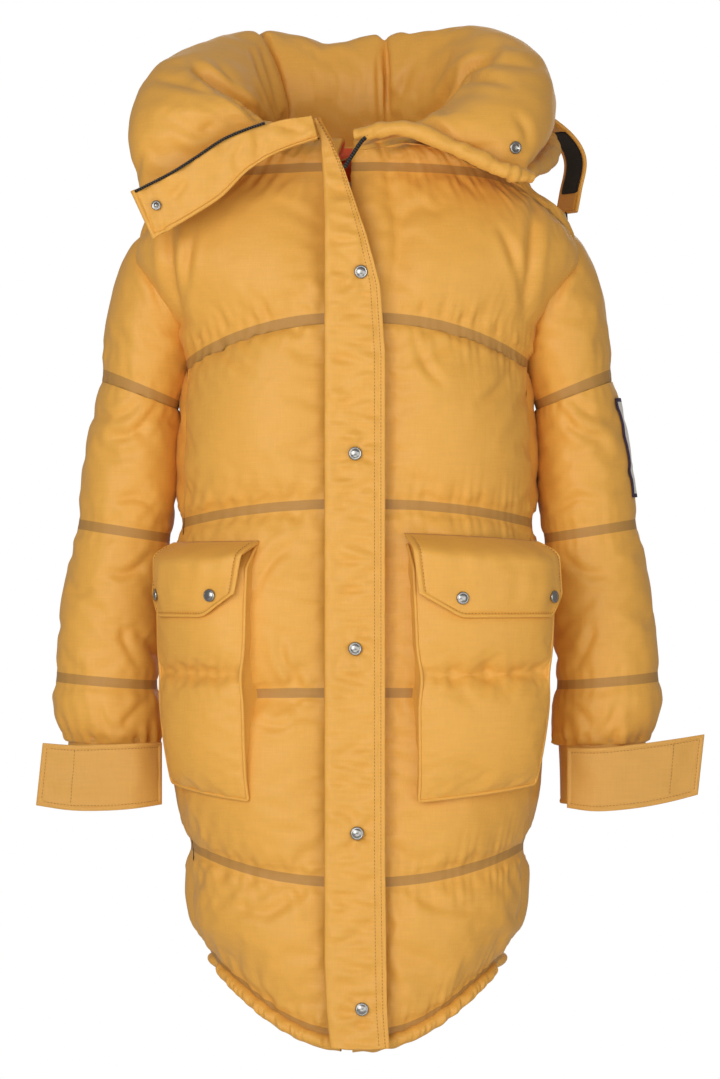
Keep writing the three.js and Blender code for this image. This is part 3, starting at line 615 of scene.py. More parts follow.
def hem_casing(name, angles, body_name, node):
    """The gathered tube of cloth along the hem."""
    turn = np.linspace(0, 2 * math.pi, 15)[:-1]
    hem = seam_heights(angles)[-1]
    gather = ripple(np.stack([angles * 3.2, 0 * angles, 0 * angles], -1), 11, 5)
    slant = ripple(np.stack([angles * 3.2, 9 + 0 * angles, 0 * angles], -1), 17, 6)
    from_front = 180 - np.abs(180 - angles) if angles[-1] > 180 else np.abs(angles)
    tuck = 9 * np.exp(-(np.abs(from_front - SIDE_ANGLE) * 2.6 / 16) ** 2)
    rings = []
    for t in turn:
        swell = 1 + 0.16 * gather * max(0.25, math.cos(t))
        inset = BODY_INSET + 1 - 9.5 * math.cos(t) * swell + tuck
        z = hem - 2.5 - HEM_CASING / 2 + (HEM_CASING / 2 + 1.5 + 0.8 * slant) * math.sin(t)
        rings.append(body(angles, z, inset))
    points = np.stack(rings, 1)
    obj = grid_object(name, points, [SHELL], wrap=True, flip=angles[-1] < angles[0])
    return dress(subdivided(obj), body_name, [node])


def hem():
    for side, sign, start in FRONTS:
        angles = angles_from(angle_at_x(start), sign * SIDE_ANGLE, 2.2)
        hem_casing(f"{side}_hem_gather", angles, f"{side}_front", f"hem_casing_{side}")
    angles = angles_from(SIDE_ANGLE, 360 - SIDE_ANGLE, 3.0)
    hem_casing("back_hem_gather", angles, "coat_body", "hem_casing_back")


def lining(name, angles, first, last, body_name, nodes):
    """The quilted lining inside a stretch of the body."""
    lines = seam_heights(angles)[first:last + 1]
    if last == 6:
        lines[-1] = lines[-1] + 2
    rows, insets, _ = quilt_rows(lines, LINING["cell"], LINING["puff"])
    depth = LINING["inset"] + (LINING["puff"] - insets)[:, None] * 0.9
    points = body(angles, rows, np.broadcast_to(depth, rows.shape))
    obj = subdivided(grid_object(name, points, [LINING_CLOTH], flip=angles[-1] < angles[0]))
    dress(trimmed(obj, lambda p: ~in_sleeve(p)), body_name, nodes)


def linings():
    for side, sign, start in FRONTS:
        angles = angles_from(angle_at_x(start), sign * SIDE_ANGLE, 10)
        lining(f"{side}_front_lining_cloth", angles, 2, 6, f"{side}_front", [f"{side}_front_lining"])
        angles = angles_from(angle_at_x(start), sign * 100, 10)
        shoulder = ("coat_body", f"{side}_front", *SHOULDER_BLEND)
        lining(f"{side}_chest_lining_cloth", angles, 0, 2, shoulder, ())
    angles = angles_from(SIDE_ANGLE, 360 - SIDE_ANGLE, 12)
    lining("back_lining_cloth", angles, 2, 6, "coat_body", ["back_lining"])
    lining("yoke_lining_cloth", angles_from(100, 260, 12), 0, 2, "coat_body", ["yoke_lining"])


# ---- Placket, snaps and zip ----
CAP_PROFILE = [(5.6, -1.6), (6.9, -1.0), (7.1, 0.0), (6.9, 0.8), (6.1, 1.5), (5.6, 1.55), (5.2, 1.35),
               (4.9, 1.45), (4.2, 1.9), (2.8, 2.35), (1.2, 2.55), (0.05, 2.6)]


def cap(name, place, facing, body_name, node, scale=1.0):
    """A snap's cap: a shallow dome inside a raised ring."""
    profile = [(r * scale, h * scale) for r, h in CAP_PROFILE]
    return dress(lathe_object(name, profile, place, facing, METAL), body_name, [node])


def placket_y(z):
    """The y of the placket's front at a height: flat below, then following the body up to the neck."""
    rows = np.array([[-1000, -186.4], [-118, -186.4], [-84, -183], [-48, -171], [-12, -166], [30, -163]])
    return np.interp(z, rows[:, 0], rows[:, 1])


def placket_strip(z_from, z_to, seed):
    z = np.linspace(z_from, z_to, int(abs(z_to - z_from) / 3.4) + 1)
    across = np.concatenate([np.linspace(0, 0.88, 17), [0.905, 0.93, 0.96, 1.0]])
    left, right = between(PLACKET_SEAM, z), between(PLACKET_EDGE, z)
    x = left[:, None] + (right - left)[:, None] * across
    zz = np.broadcast_to(z[:, None], x.shape)
    y = placket_y(zz)
    points = np.stack([x, y, zz], -1)
    fade = np.clip(across * 4, 0, 1) * np.clip((0.9 - across) * 5 + 0.25, 0.25, 1)
    waves = 1.6 * ripple(points * [1, 1, 2.2], 30, seed) + 1.0 * ripple(points * [0.4, 1, 1.6], 12, seed + 1)
    pucker = np.zeros(x.shape)
    for sx, sz in PLACKET_SNAPS:
        away = np.hypot(x - sx, zz - sz)
        swing = np.arctan2(zz - sz, x - sx)
        pucker += 1.5 * np.exp(-((away - 15) / 9) ** 2) * np.cos(5 * swing + 0.9 * sx)
        pucker -= 2.2 * np.exp(-(away / 11) ** 2)
    groove = -0.9 * np.exp(-((across - 0.905) / 0.012) ** 2)
    tuck = -3.0 * np.exp(-(across / 0.05) ** 2)
    points[..., 1] -= (waves + pucker) * fade + groove + tuck
    return points


PLACKET_FOLD = ((0, 0, -0.118), (0, 0, -0.24))  # two points on a vertical line through the placket, below its top


def placket():
    strip = placket_strip(26, -939, 21)
    whole = cloth_object("placket_whole", strip, SHELL, 3.0, flip=True)
    lower = part_of(whole, "placket_cloth", lambda p: p[:, 2] < PLACKET_SPLIT)
    upper = part_of(whole, "placket_top_cloth", lambda p: p[:, 2] >= PLACKET_SPLIT)
    bpy.data.objects.remove(whole)
    lines = [strip[:, column] + [0, -0.35, 0] for column in (15, 18)]
    threads = joined([stitches(f"placket_thread_{k}", line, THREAD) for k, line in enumerate(lines)])
    low_threads = part_of(threads, "placket_stitching", lambda p: p[:, 2] < PLACKET_SPLIT)
    high_threads = part_of(threads, "placket_top_stitching", lambda p: p[:, 2] >= PLACKET_SPLIT)
    bpy.data.objects.remove(threads)
    for piece, node in ((lower, ["placket"]), (low_threads, [])):
        dress(piece, ("right_front", "placket_flap", *PLACKET_FOLD), node)
    for piece, node in ((upper, ["placket_top"]), (high_threads, [])):
        dress(piece, ("coat_body", "right_front", *SHOULDER_BLEND), node)
    for i, (x, z) in enumerate(PLACKET_SNAPS):
        cap(f"placket_cap_{i + 1}", (x, placket_y(z) - 0.9, z), (0, -1, 0),
            ("right_front", "placket_flap", *PLACKET_FOLD), f"placket_snap_cap_{i + 1}")


def zip_teeth():
    """Moulded teeth of the front zip, in two interlocking rows, on their tapes."""
    pitch, top, bottom = 3.2, -119, -912
    for side, sign in SIDES:
        points, faces = [], []
        centre = ZIP_X + sign * 1.6
        for z in np.arange(bottom + 2 + (pitch / 2 if sign > 0 else 0), top - 1, pitch):
            base = len(points)
            for dx, dz in ((-1.5, -0.85), (1.5, -0.85), (1.5, 0.85), (-1.5, 0.85)):
                points += [(centre + dx, -169.4, z + dz), (centre + dx, -165.8, z + dz)]
            loop = [0, 2, 4, 6]
            faces += [[base + k for k in loop], [base + k + 1 for k in loop[::-1]]]
            for a, b in zip(loop, loop[1:] + loop[:1]):
                faces.append([base + a, base + a + 1, base + b + 1, base + b])
        teeth = mesh_object(f"{side}_teeth", points, faces, [BLACK])
        dress(teeth, f"{side}_front", [f"{side}_zip_teeth"])


# ---- Pockets ----
POCKET = {"top": -417, "pinch": -552, "edge_pinch": -556, "foot": -683, "depth": 25, "toe": 13}
POCKET_CORNERS = {  # angles of the inner and outer edge at the top and at the foot, and the foot's rise
    "right": ((28.5, 74.5), (31, 72), 15),
    "left": ((12.5, 70), (15.5, 64), 16),
}
FLAP = {"top": -405, "foot": -493, "chamfer": 25, "stand": 34}
# The flap's top: its rise at the inner end and its fall to the outer one. Then how far each side edge leans
# towards the outside at the foot, and the width of a chamfer, as shares of the flap's width.
FLAP_SHAPE = {"right": (-8, -2, 0.06, 0.0, 0.24), "left": (0, -9, 0.03, 0.04, 0.19)}


POCKET_WIDTH = {"right": 118, "left": 172}
POCKET_SPREAD = {"right": 1.0, "left": 1.14}  # width of the curve that a pocket follows, over the body's


def flatter(side, points, stand):
    """Moves points of a pocket forward, onto a curve that is wider than the body and so flatter."""
    half = np.interp(points[..., 2], SECTIONS[:, 0], SECTIONS[:, 1]) + stand
    front = np.interp(points[..., 2], SECTIONS[:, 0], SECTIONS[:, 2]) + stand
    part = np.clip(np.abs(points[..., 0]) / (half * POCKET_SPREAD[side]), 0, 1)
    moved = points.copy()
    moved[..., 1] = MID_Y - front * (1 - part ** SQUARENESS) ** (1 / SQUARENESS)
    return moved


def pocket_point(side, sign, u, z, stand, flat=1.0):
    """A point of a pocket's front: u from the inner to the outer edge, at a height and a stand-off."""
    (a0, b0), (a1, b1), rise = POCKET_CORNERS[side]
    f = (z - POCKET["top"]) / (POCKET["foot"] - POCKET["top"])
    inner, outer = a0 + (a1 - a0) * f, b0 + (b1 - b0) * f
    pinch = np.exp(-((z - POCKET["edge_pinch"]) / 20) ** 2)
    angle = inner + (outer - inner) * u + pinch * (0.9 - 2.6 * u)
    lifted = z + rise * u * np.clip(f, 0, 1) ** 3
    points = body(sign * angle, lifted, -stand)
    return points + flat * (flatter(side, points, stand) - points)


def pocket_depth(z):
    """How far a pocket's edge stands off the body at a height, less the seam's own 4 mm."""
    f = (POCKET["top"] - z) / (POCKET["top"] - POCKET["foot"])
    depth = POCKET["depth"] + (POCKET["toe"] - POCKET["depth"]) * np.clip((f - 0.5) * 2, 0, 1) ** 2
    return 4 + (depth - 4) * np.clip(f * 10 + 0.1, 0, 1) - 4


def pocket(side, sign):
    width = POCKET_WIDTH[side]
    top, middle, foot = POCKET["top"], POCKET["pinch"], POCKET["foot"]
    u = even(width, 5.0)
    z = top + (foot - top) * even(top - foot, 5.0)
    uu, zz = np.meshgrid(u, z)
    puff = np.where(zz > middle, (top - zz) / (top - middle), (middle - zz) / (middle - foot))
    swell = np.sin(math.pi * uu) ** 0.5 * np.abs(np.sin(math.pi * puff)) ** 0.5
    pinch = np.exp(-((zz - middle) / 8) ** 2) * np.sin(math.pi * uu) ** 0.3
    face = pocket_point(side, sign, uu, zz, pocket_depth(zz) + 9 * swell - 7 * pinch)
    face += (0.35 * ripple(face * [0.5, 1, 3], 16, 31 + sign))[..., None] * grid_normals(face)
    pinned = np.zeros(uu.shape, bool)
    pinned[0] = pinned[-1] = True
    pinned[:, 0] = pinned[:, -1] = True
    pinned[int(np.argmin(np.abs(z - middle)))] = True
    obj = grid_object(f"{side}_pocket_face", face, [SHELL], flip=sign > 0)
    flat = coords(obj)
    inflate(obj, pinned.ravel(), pressure=4.0, stretch=0.022, cap=9)
    under_flap = np.clip((flat[:, 2:3] / MM - FLAP["foot"] + 6) / 14, 0, 1)
    set_coords(obj, coords(obj) * (1 - under_flap) + flat * under_flap)
    face_obj = subdivided(obj)
    points = coords(face_obj) / MM
    puckered(face_obj, np.abs(points[:, 2] - middle), points[:, 0], 2.0, 10, 11, 35 + sign, bare=0)
    puckered(face_obj, np.abs(points[:, 2] - foot), points[:, 0], 0.8, 14, 14, 38 + sign, bare=2)

    # The gusset runs back from the face to the body along both sides and the foot.
    rim_u = np.concatenate([np.zeros(len(z)), u[1:-1], np.ones(len(z))])
    rim_z = np.concatenate([z, np.full(len(u) - 2, z[-1]), z[::-1]])
    rim_depth = pocket_depth(rim_z)
    rim = pocket_point(side, sign, rim_u, rim_z, rim_depth)
    rings = []
    for k in np.linspace(0, 1, 7):
        ring = pocket_point(side, sign, rim_u, rim_z, rim_depth * (1 - k) - 12 * k, 1 - k)
        fold = 2.2 * math.sin(math.pi * k) * (1 + 0.4 * ripple(ring, 26, 41))
        centre = pocket_point(side, sign, 0.5 + 0 * rim_u, 0.5 * (rim_z + z.mean()), rim_depth + 4)
        rings.append(ring + unit(centre - ring) * fold[:, None])
    gusset = grid_object(f"{side}_pocket_gusset", np.array(rings), [SHELL], flip=sign < 0)
    whole = joined([face_obj, subdivided(gusset)])
    dress(whole, f"{side}_front", [f"{side}_pocket"])
    piping = tube_object(f"{side}_pocket_piping", resampled(rim, 3.0), 1.9, SHELL, 8)
    dress(piping, f"{side}_front")
    flap(side, sign)


def flap_point(side, sign, u, w, off):
    """A point of a pocket's flap: u across, w from the sewn top to the free foot."""
    a0, b0 = POCKET_CORNERS[side][0]
    start, fall, inner, outer, corner = FLAP_SHAPE[side]
    edge = np.minimum(u, 1 - u) / corner
    foot = FLAP["foot"] + FLAP["chamfer"] * np.clip(1 - edge, 0, 1)
    top = FLAP["top"] + start + fall * u
    z = top + (foot - top) * w
    across = u + (1 - u) * inner * w + u * outer * w
    outermost = np.clip((u - 0.66) * 3, 0, 1)
    stand = 3 + (FLAP["stand"] - 3 - 9 * outermost) * np.sin(np.minimum(w / 0.3, 1) * math.pi / 2)
    points = body(sign * (a0 - 1.2 + (b0 - a0 + 2.4) * across), z, -stand - off)
    return flatter(side, points, stand + off)


def rimmed(count_mm, cell=5.0, both=True):
    """Steps from 0 to 1 over a length, close together at the ends where an edge is rolled."""
    near = np.array([0, 0.9, 2.2, 3.5, 4.4, 5.2, 6.2])
    inner = np.linspace(9, count_mm - 9, max(3, int((count_mm - 18) / cell)))
    start = near if both else np.array([0.0, 4.0])
    return np.concatenate([start, inner, (count_mm - near)[::-1]]) / count_mm


def from_edges(u, w, length, width):
    """Distance from the nearest edge of a cloth at u along it and w across it."""
    return np.minimum(np.minimum(u, 1 - u) * length, np.minimum(w, 1 - w) * width)


def rolled_edge(away):
    """Height of a rolled edge and its topstitched groove, at a distance from the edge."""
    roll = 1.5 * np.sqrt(np.clip(np.sin(np.pi * np.clip(away / 4.6, 0, 1)), 0, 1))
    return roll - 0.9 * np.exp(-((away - 5.0) / 0.9) ** 2)


FLAP_WIDTH = {"right": 112, "left": 162}
FLAP_SNAPS = {"right": (0.19, 0.81), "left": (0.2, 0.83)}  # shares of the flap's width
FLAP_SNAP_DROP = 0.76


def flap(side, sign):
    width, height = FLAP_WIDTH[side], 90
    u, w = rimmed(width), rimmed(height, both=False)
    uu, ww = np.meshgrid(u, w)
    chamfer = np.clip(1 - np.minimum(uu, 1 - uu) / FLAP_SHAPE[side][4], 0, 1)
    local = height - FLAP["chamfer"] * chamfer
    away = np.minimum(np.minimum(uu, 1 - uu) * width, (1 - ww) * local * np.where(chamfer > 0, 0.8, 1))
    swell = 5.0 * np.clip((away - 5) / 26, 0, 1) ** 0.7 * np.clip(ww * 5, 0, 1)
    points = flap_point(side, sign, uu, ww, 0)
    dent = np.zeros(uu.shape)
    for s in FLAP_SNAPS[side]:
        reach = np.hypot((uu - s) * width, (ww - FLAP_SNAP_DROP) * height)
        crease = np.exp(-(((uu - s) * width) / 7) ** 2) * np.clip((FLAP_SNAP_DROP - ww) * 2.2, 0, 1)
        dent += 4.5 * np.exp(-(reach / 13) ** 2) + 1.8 * crease
    soft = 0.7 * ripple(points, 24, 51 + sign) * np.clip(away / 12, 0, 1)
    off = rolled_edge(away) + np.maximum(swell - dent, -0.5) + soft
    points = flap_point(side, sign, uu, ww, off)
    obj = cloth_object(f"{side}_flap_face", points, SHELL, 4.0, flip=sign > 0)
    pivot = {"right": ((-0.155, -0.136, -0.400), (-0.155, -0.150, -0.416)),
             "left": ((0.137, -0.150, -0.400), (0.137, -0.164, -0.416))}[side]
    dress(obj, (f"{side}_front", f"{side}_flap", *pivot), [f"{side}_pocket_flap"])
    seam = 5 / width
    down = np.linspace(0.05, 0.93, 18)
    line_u = np.concatenate([np.full(18, seam), np.linspace(seam, 1 - seam, 40), np.full(18, 1 - seam)])
    line_w = np.concatenate([down, np.full(40, 0.944), np.linspace(0.93, 0.05, 18)])
    line = flap_point(side, sign, line_u, line_w, 0.2)
    dress(stitches(f"{side}_flap_stitching", line, THREAD), f"{side}_flap")
    for i, s in enumerate(FLAP_SNAPS[side]):
        place = flap_point(side, sign, np.array(s), np.array(FLAP_SNAP_DROP), 1.6)
        ahead = flap_point(side, sign, np.array(s + 0.05), np.array(FLAP_SNAP_DROP), 1.6)
        along = unit(ahead - place)
        facing = np.array([along[1], -along[0], 0]) * (1 if along[0] > 0 else -1)
        cap(f"{side}_flap_cap_{i + 1}", place, facing, f"{side}_flap", f"{side}_flap_snap_cap_{i + 1}", 0.95)


# ---- Sleeves and cuffs ----
SLEEVE_INSET = 4


def sleeve_rings(t):
    return catmull(SLEEVE, t)


def sleeve(sign, around, t, grow):
    """Points of a sleeve: around in turns, t from the armhole to the wrist, grown by some millimetres."""
    ring = sleeve_rings(t)
    lean = np.radians(ring[:, 5:6])
    reach = (ring[:, 3:4] + grow) * np.cos(2 * math.pi * around)
    deep = (ring[:, 4:5] + grow) * np.sin(2 * math.pi * around)
    x = sign * (ring[:, 0:1] + reach * np.cos(lean))
    return np.stack([x, ring[:, 1:2] + deep, ring[:, 2:3] + reach * np.sin(lean)], -1)


def sleeve_t(z):
    """Where on the sleeve its middle is at a height."""
    t = np.linspace(0, 1, 400)
    return np.interp(-z, -sleeve_rings(t)[:, 2], t)


def sleeve_quilt(name, sign, heights, seed, pressure=4.0, stretch=0.018, last_tape=True):
    """A quilted stretch of sleeve between tapes, whose middles are at the given heights."""
    rows, insets, seams = quilt_rows([np.array([z]) for z in heights], inset=SLEEVE_INSET)
    t = [sleeve_t(z) for z in rows[:, 0]]
    around = np.arange(62) / 62
    points = sleeve(sign, around, np.array(t), -np.array(insets)[:, None] - 1.0)
    points += (0.5 * ripple(points, 20, seed) * (~seams)[:, None])[..., None] * grid_normals(points)
    pinned = np.zeros(points.shape[:2], bool)
    pinned[seams] = True
    count, columns = points.shape[:2]
    faces = grid_faces(count, columns, wrap=True, flip=sign > 0)
    taped = seams[:-1] & seams[1:]
    taped[-2:] = last_tape
    tape = [int(taped[min(f) // columns]) for f in faces]
    obj = mesh_object(name, points, faces, [SHELL, TAPE], tape)
    inflate(obj, pinned.ravel(), pressure=pressure, stretch=stretch, cap=14)
    subdivided(obj)
    points = coords(obj) / MM
    ring = sleeve_rings(sleeve_t(points[:, 2]))
    out = sign * points[:, 0] - ring[:, 0]
    level = points[:, 2] - out * np.tan(np.radians(ring[:, 5]))
    away = np.abs(level[:, None] - np.array(heights[1 if heights[0] > SLEEVE_TAPES[0] else 0:])).min(1)
    turn = np.arctan2(points[:, 1] - ring[:, 1], out)
    puckered(obj, away, turn * 55, depth=1.1, fade=10, seed=seed)
    if not last_tape:
        puckered(obj, np.abs(level - heights[-1]), turn * 55, 3.6, 18, 15, seed + 1, bare=0)
    return creased(obj, SLEEVE_CREASES, sign)


def sleeves():
    for side, sign in SIDES:
        head = sleeve_quilt(f"{side}_sleeve_head", sign, [SLEEVE[0][2], SLEEVE_TAPES[0]], 61 + sign)
        fit = ((sign * 0.196, -0.03, -0.122), (sign * 0.226, -0.03, -0.20))
        dress(head, ("coat_body", f"{side}_upper_arm", *fit), ())
        arm = sleeve_quilt(f"{side}_sleeve_arm", sign, SLEEVE_TAPES + [-630], 64 + sign, last_tape=False)
        fit = ((sign * 0.246, -0.022, -0.345), (sign * 0.246, -0.022, -0.455))
        nodes = [f"{side}_upper_sleeve", f"{side}_forearm_sleeve"]
        dress(arm, (f"{side}_upper_arm", f"{side}_forearm", *fit), nodes)
        cuff(side, sign)
        if side == "left":
            patch(arm, (f"{side}_upper_arm", f"{side}_forearm", *fit))
    straps()


CUFF = {"x": 262, "y": -30, "top": -622, "height": 72, "half_width": 47.5, "half_depth": 43.5}


def cuff(side, sign):
    """The wide flat cuff: a band with folded edges, gathered where the sleeve joins it."""
    height = CUFF["height"]
    around = np.arange(96) / 96
    drop = np.concatenate([[0, 1.5, 4, 5, 6.5], np.linspace(10, 62, 12), [66, 67, 69, 71, height]])
    turn = 2 * math.pi * around
    wave = ripple(np.stack([np.cos(turn) * 50, np.sin(turn) * 50, 0 * turn], -1), 34, 71 + sign)
    half = np.array([CUFF["half_width"], CUFF["half_depth"]])
    rings = []
    for d in drop:
        fold = rolled_edge(np.array(min(d, height - d)))
        size = half * (1 - 0.05 * d / height) + 0.5 * fold - 0.4
        bend = 1.6 * wave * math.sin(math.pi * d / height)
        x = sign * (CUFF["x"] + (size[0] + bend) * np.cos(turn))
        y = CUFF["y"] + (size[1] + bend) * np.sin(turn)
        rings.append(np.stack([x, y, np.full_like(x, CUFF["top"] - d)], -1))
    # The cuff band takes the darker shell, which is painted shade.
    obj = cloth_object(f"{side}_cuff_band", np.array(rings), SHELL_PAINTED_SHADE, 4.0, wrap=True, flip=sign > 0)
    dress(obj, f"{side}_forearm", [f"{side}_cuff"])


# The straps' middle lines and heights
STRAPS = {"right": (
    [[-207, -74, -660], [-232, -96, -660], [-262, -100, -661], [-300, -98, -662], [-336, -90, -660]], 66,
), "left": (
    [[222, -84, -664], [252, -99, -664], [292, -100, -660], [330, -95, -655], [364, -86, -650]], 64,
)}


def route_length(route):
    return float(np.linalg.norm(np.diff(np.array(route), axis=0), axis=1).sum())


def straps():
    for side, (route, height) in STRAPS.items():
        sign = -1 if side == "right" else 1
        length = route_length(route)
        u, w = rimmed(length, 6.0), rimmed(height, 6.0)
        path = catmull(route, u)
        along = unit(np.gradient(path, axis=0))
        face = unit(np.stack([sign * along[:, 1], -sign * along[:, 0], 0 * u], -1))
        uu, ww = np.meshgrid(u, w, indexing="ij")
        away = from_edges(uu, ww, length, height)
        points = path[:, None] + np.array([0, 0, 1]) * ((0.5 - ww) * height)[..., None]
        points[..., 0] += sign * 7 * (ww - 0.5) * np.where(sign < 0, uu, -uu)
        points[..., 2] -= 4 * ww * np.sin(math.pi * uu)
        lift = 0.45 * rolled_edge(away)
        soft = 1.3 * ripple(points * [1, 1, 1.5], 42, 81 + sign) + 0.5 * ripple(points, 17, 83 + sign)
        points = points + face[:, None] * (lift + soft * np.clip(away / 14, 0, 1))[..., None]
        # The strap takes the darker shell, which is painted shade.
        obj = cloth_object(f"{side}_strap_cloth", points, SHELL_PAINTED_SHADE, 3.0, flip=sign < 0)
        pivot = ((sign * 0.222, -0.085, -0.66), (sign * 0.246, -0.098, -0.66))
        dress(obj, (f"{side}_forearm", f"{side}_strap", *pivot), [f"{side}_cuff_strap"])
        sewn = points + face[:, None] * 0.3
        end = int(np.argmin(np.abs(u * length - length + 32)))
        rows = (sewn[5:-5, 5], sewn[5:-5, -6], sewn[-6, 5:-5], sewn[end, 5:-5])
        threads = joined([stitches(f"{side}_strap_stitching_{k}", row, THREAD) for k, row in enumerate(rows)])
        dress(threads, (f"{side}_forearm", f"{side}_strap", *pivot))


def patch(arm, body_name):
    """The blank badge on the outside of the left sleeve, bound with a dark edge."""
    around = np.linspace(-0.07, 0.13, 22)
    t = np.array([sleeve_t(z) for z in np.linspace(-276, -376, 26)])
    points = sleeve(1, around, t, 6)
    laid = []
    for point in points.reshape(-1, 3) * MM:
        _, place, normal, _ = arm.closest_point_on_mesh(Vector(point))
        laid.append(np.array(place + normal * 0.0009) / MM)
    rows, columns = points.shape[:2]
    faces = grid_faces(rows, columns, flip=True)
    edge = []
    for row in range(rows - 1):
        edge += [int(row in (0, rows - 2) or column in (0, columns - 2)) for column in range(columns - 1)]
    obj = mesh_object("sleeve_badge", np.array(laid), faces, [PATCH, PATCH_EDGE], edge)
    dress(thickened(obj, 1.6, 1.0), body_name, ["sleeve_patch"])


# ---- Collar ----
# Lines over the collar from the neck to its outer edge; they run from the right front edge round the
# back to the left front edge.
COLLAR = np.array([
    [[-58, -150, 22], [-100, -168, 15], [-148, -176, -8], [-194, -172, -36], [-234, -158, -52]],
    [[-70, -126, 22], [-120, -150, 44], [-174, -162, 42], [-228, -146, 18], [-250, -110, -4]],
    [[-86, -92, 22], [-116, -106, 52], [-162, -112, 76], [-212, -100, 76], [-246, -74, 42]],
    [[-84, -40, 18], [-102, -44, 72], [-146, -42, 110], [-190, -34, 101], [-228, -24, 56]],
    [[-62, 6, 10], [-76, 10, 72], [-101, 26, 133], [-120, 56, 126], [-132, 80, 82]],
    [[-22, 24, 4], [-24, 22, 70], [-28, 38, 129], [-30, 62, 121], [-30, 84, 82]],
    [[34, 18, 8], [32, 16, 72], [31, 28, 131], [36, 58, 123], [44, 80, 82]],
    [[62, -24, 16], [86, -24, 78], [116, -14, 131], [154, 2, 118], [182, 24, 76]],
    [[66, -84, 26], [100, -92, 58], [150, -84, 102], [194, -66, 92], [218, -44, 50]],
    [[40, -136, 26], [88, -150, 40], [140, -152, 44], [190, -130, 36], [214, -98, 6]],
    [[-4, -168, 13], [48, -184, 18], [104, -184, -3], [148, -178, -23], [182, -160, -31]],
])
COLLAR_CREASES = [
    (9, 4.5, [(-168, 80), (-139, 61), (-114, 40), (-100, 22)]),
    (6, 2.6, [(-112, 112), (-100, 80), (-89, 50), (-80, 16)]),
    (5, 2.6, [(-104, 116), (-93, 84), (-84, 54), (-74, 22)]), (4, 4, [(-175, 94), (-158, 74), (-144, 58)]),
    (4, 5, [(-222, 76), (-172, 62), (-128, 46)]), (3.5, 5, [(-184, 22), (-165, 9), (-150, 20)]),
    (3.5, 4, [(-226, -10), (-232, -30), (-236, -46)]), (3, 4, [(-150, 96), (-134, 76), (-124, 62)]),
    (9, 4.5, [(146, 102), (115, 86), (96, 63), (77, 43), (60, 33)]),
    (4, 5, [(112, 84), (150, 91), (190, 86)]),
    (6, 2.6, [(31, 116), (32, 74), (32, 28)]), (5, 2.6, [(23, 110), (24, 72), (26, 30)]),
    (4, 4, [(96, 64), (122, 72), (160, 64)]), (3.5, 4, [(70, 28), (86, 14), (98, 4)]),
    (3.5, 4, [(60, 100), (50, 80), (46, 62)]), (3, 4, [(166, 30), (176, 14), (178, -2)]),
]
COLLAR_THICK = 38
COLLAR_FURROWS = (  # where along the collar, half-width, depth, and how far out from the neck
    (0.4, 0.009, 6, 0.95), (0.6, 0.009, 6, 0.95), (0.2, 0.02, 12, 0.62), (0.79, 0.02, 9, 0.6),
)
WING_BLEND = ((0, -0.01, 0), (0, -0.085, 0))


def collar_surface(u, v):
    """Upper and lower points of the collar on a grid of u along it and v from the neck outwards."""
    upper = net(COLLAR, u, v)
    normal = grid_normals(upper)
    thick = COLLAR_THICK * np.where(v < 0.35, 0.35 + 0.65 * np.sin(v / 0.35 * math.pi / 2), 1.0)
    end = np.clip((v - 0.62) / 0.38, 0, 1)
    thick = thick * np.sqrt(np.maximum(1 - end ** 2, 0))
    near = np.minimum(u, 1 - u) / 0.075
    thick = thick[None, :] * (0.22 + 0.78 * np.sin(np.minimum(near, 1) * math.pi / 2))[:, None]
    sink = (COLLAR_THICK - thick) / 2
    furrow = np.zeros_like(thick)
    for at, width, depth, reach in COLLAR_FURROWS:
        shape = np.exp(-((u - at) / width) ** 2)[:, None] * np.clip((reach - v) * 6, 0, 1)[None, :]
        furrow += depth * shape
    top = upper - normal * (sink + furrow)[..., None]
    under = upper - normal * (sink + thick)[..., None]
    return top, under


def collar():
    u, v = np.linspace(0, 1, 151), np.linspace(0, 1, 32)
    top, under = collar_surface(u, v)
    points = np.concatenate([top, under[:, -2::-1]], 1)
    points += (0.6 * ripple(points, 26, 91))[..., None] * grid_normals(points)
    pinned = np.zeros(points.shape[:2], bool)
    pinned[:, 0] = pinned[:, -1] = True
    pinned[0] = pinned[-1] = True
    for seam in (0.4, 0.6):
        pinned[int(round(seam * 150)), :12] = True
    obj = grid_object("collar_shell", points, [SHELL], flip=True)
    inflate(obj, pinned.ravel(), pressure=6.0, stretch=0.045, cap=16, frames=20)
    creased(subdivided(obj), COLLAR_CREASES)
    # Subdivision makes four faces of each one.
    row = np.arange(len(obj.data.polygons)) // (4 * (points.shape[1] - 1))
    ranges = {"right_collar_puff": (0, 60), "back_collar_puff": (60, 90), "left_collar_puff": (90, 150)}
    for name, (first, last) in ranges.items():
        piece = part_of(obj, name, lambda p: (row >= first) & (row < last))
        if name.startswith("back"):
            dress(piece, "coat_body", ["collar_back"])
        else:
            side = name.split("_")[0]
            dress(piece, ("coat_body", f"{side}_wing", *WING_BLEND), [f"{side}_collar_wing"])
    bpy.data.objects.remove(obj)


STORM_FLAP = np.array([
    [[-47, -184, 27], [-41, -184, 3]], [[-86, -187, 20], [-80, -188, -11]],
    [[-133, -190, 3], [-112, -188, -30]], [[-166, -190, -18], [-140, -188, -58]],
    [[-192, -186, -34], [-176, -184, -81]], [[-235, -176, -51], [-212, -178, -101]],
])


STORM_FLAP_CREASES = [
    (2.5, 3, [(-205, -76), (-202, -88), (-203, -96)]), (2.5, 3, [(-196, -60), (-184, -50), (-176, -38)]),
    (2.5, 3, [(-214, -54), (-222, -46), (-230, -44)]), (2.5, 3, [(-104, 8), (-102, -8), (-106, -20)]),
    (2.5, 3, [(-126, -26), (-124, -12), (-118, 0)]), (2.5, 4, [(-86, 18), (-70, 14), (-58, 10)]),
]


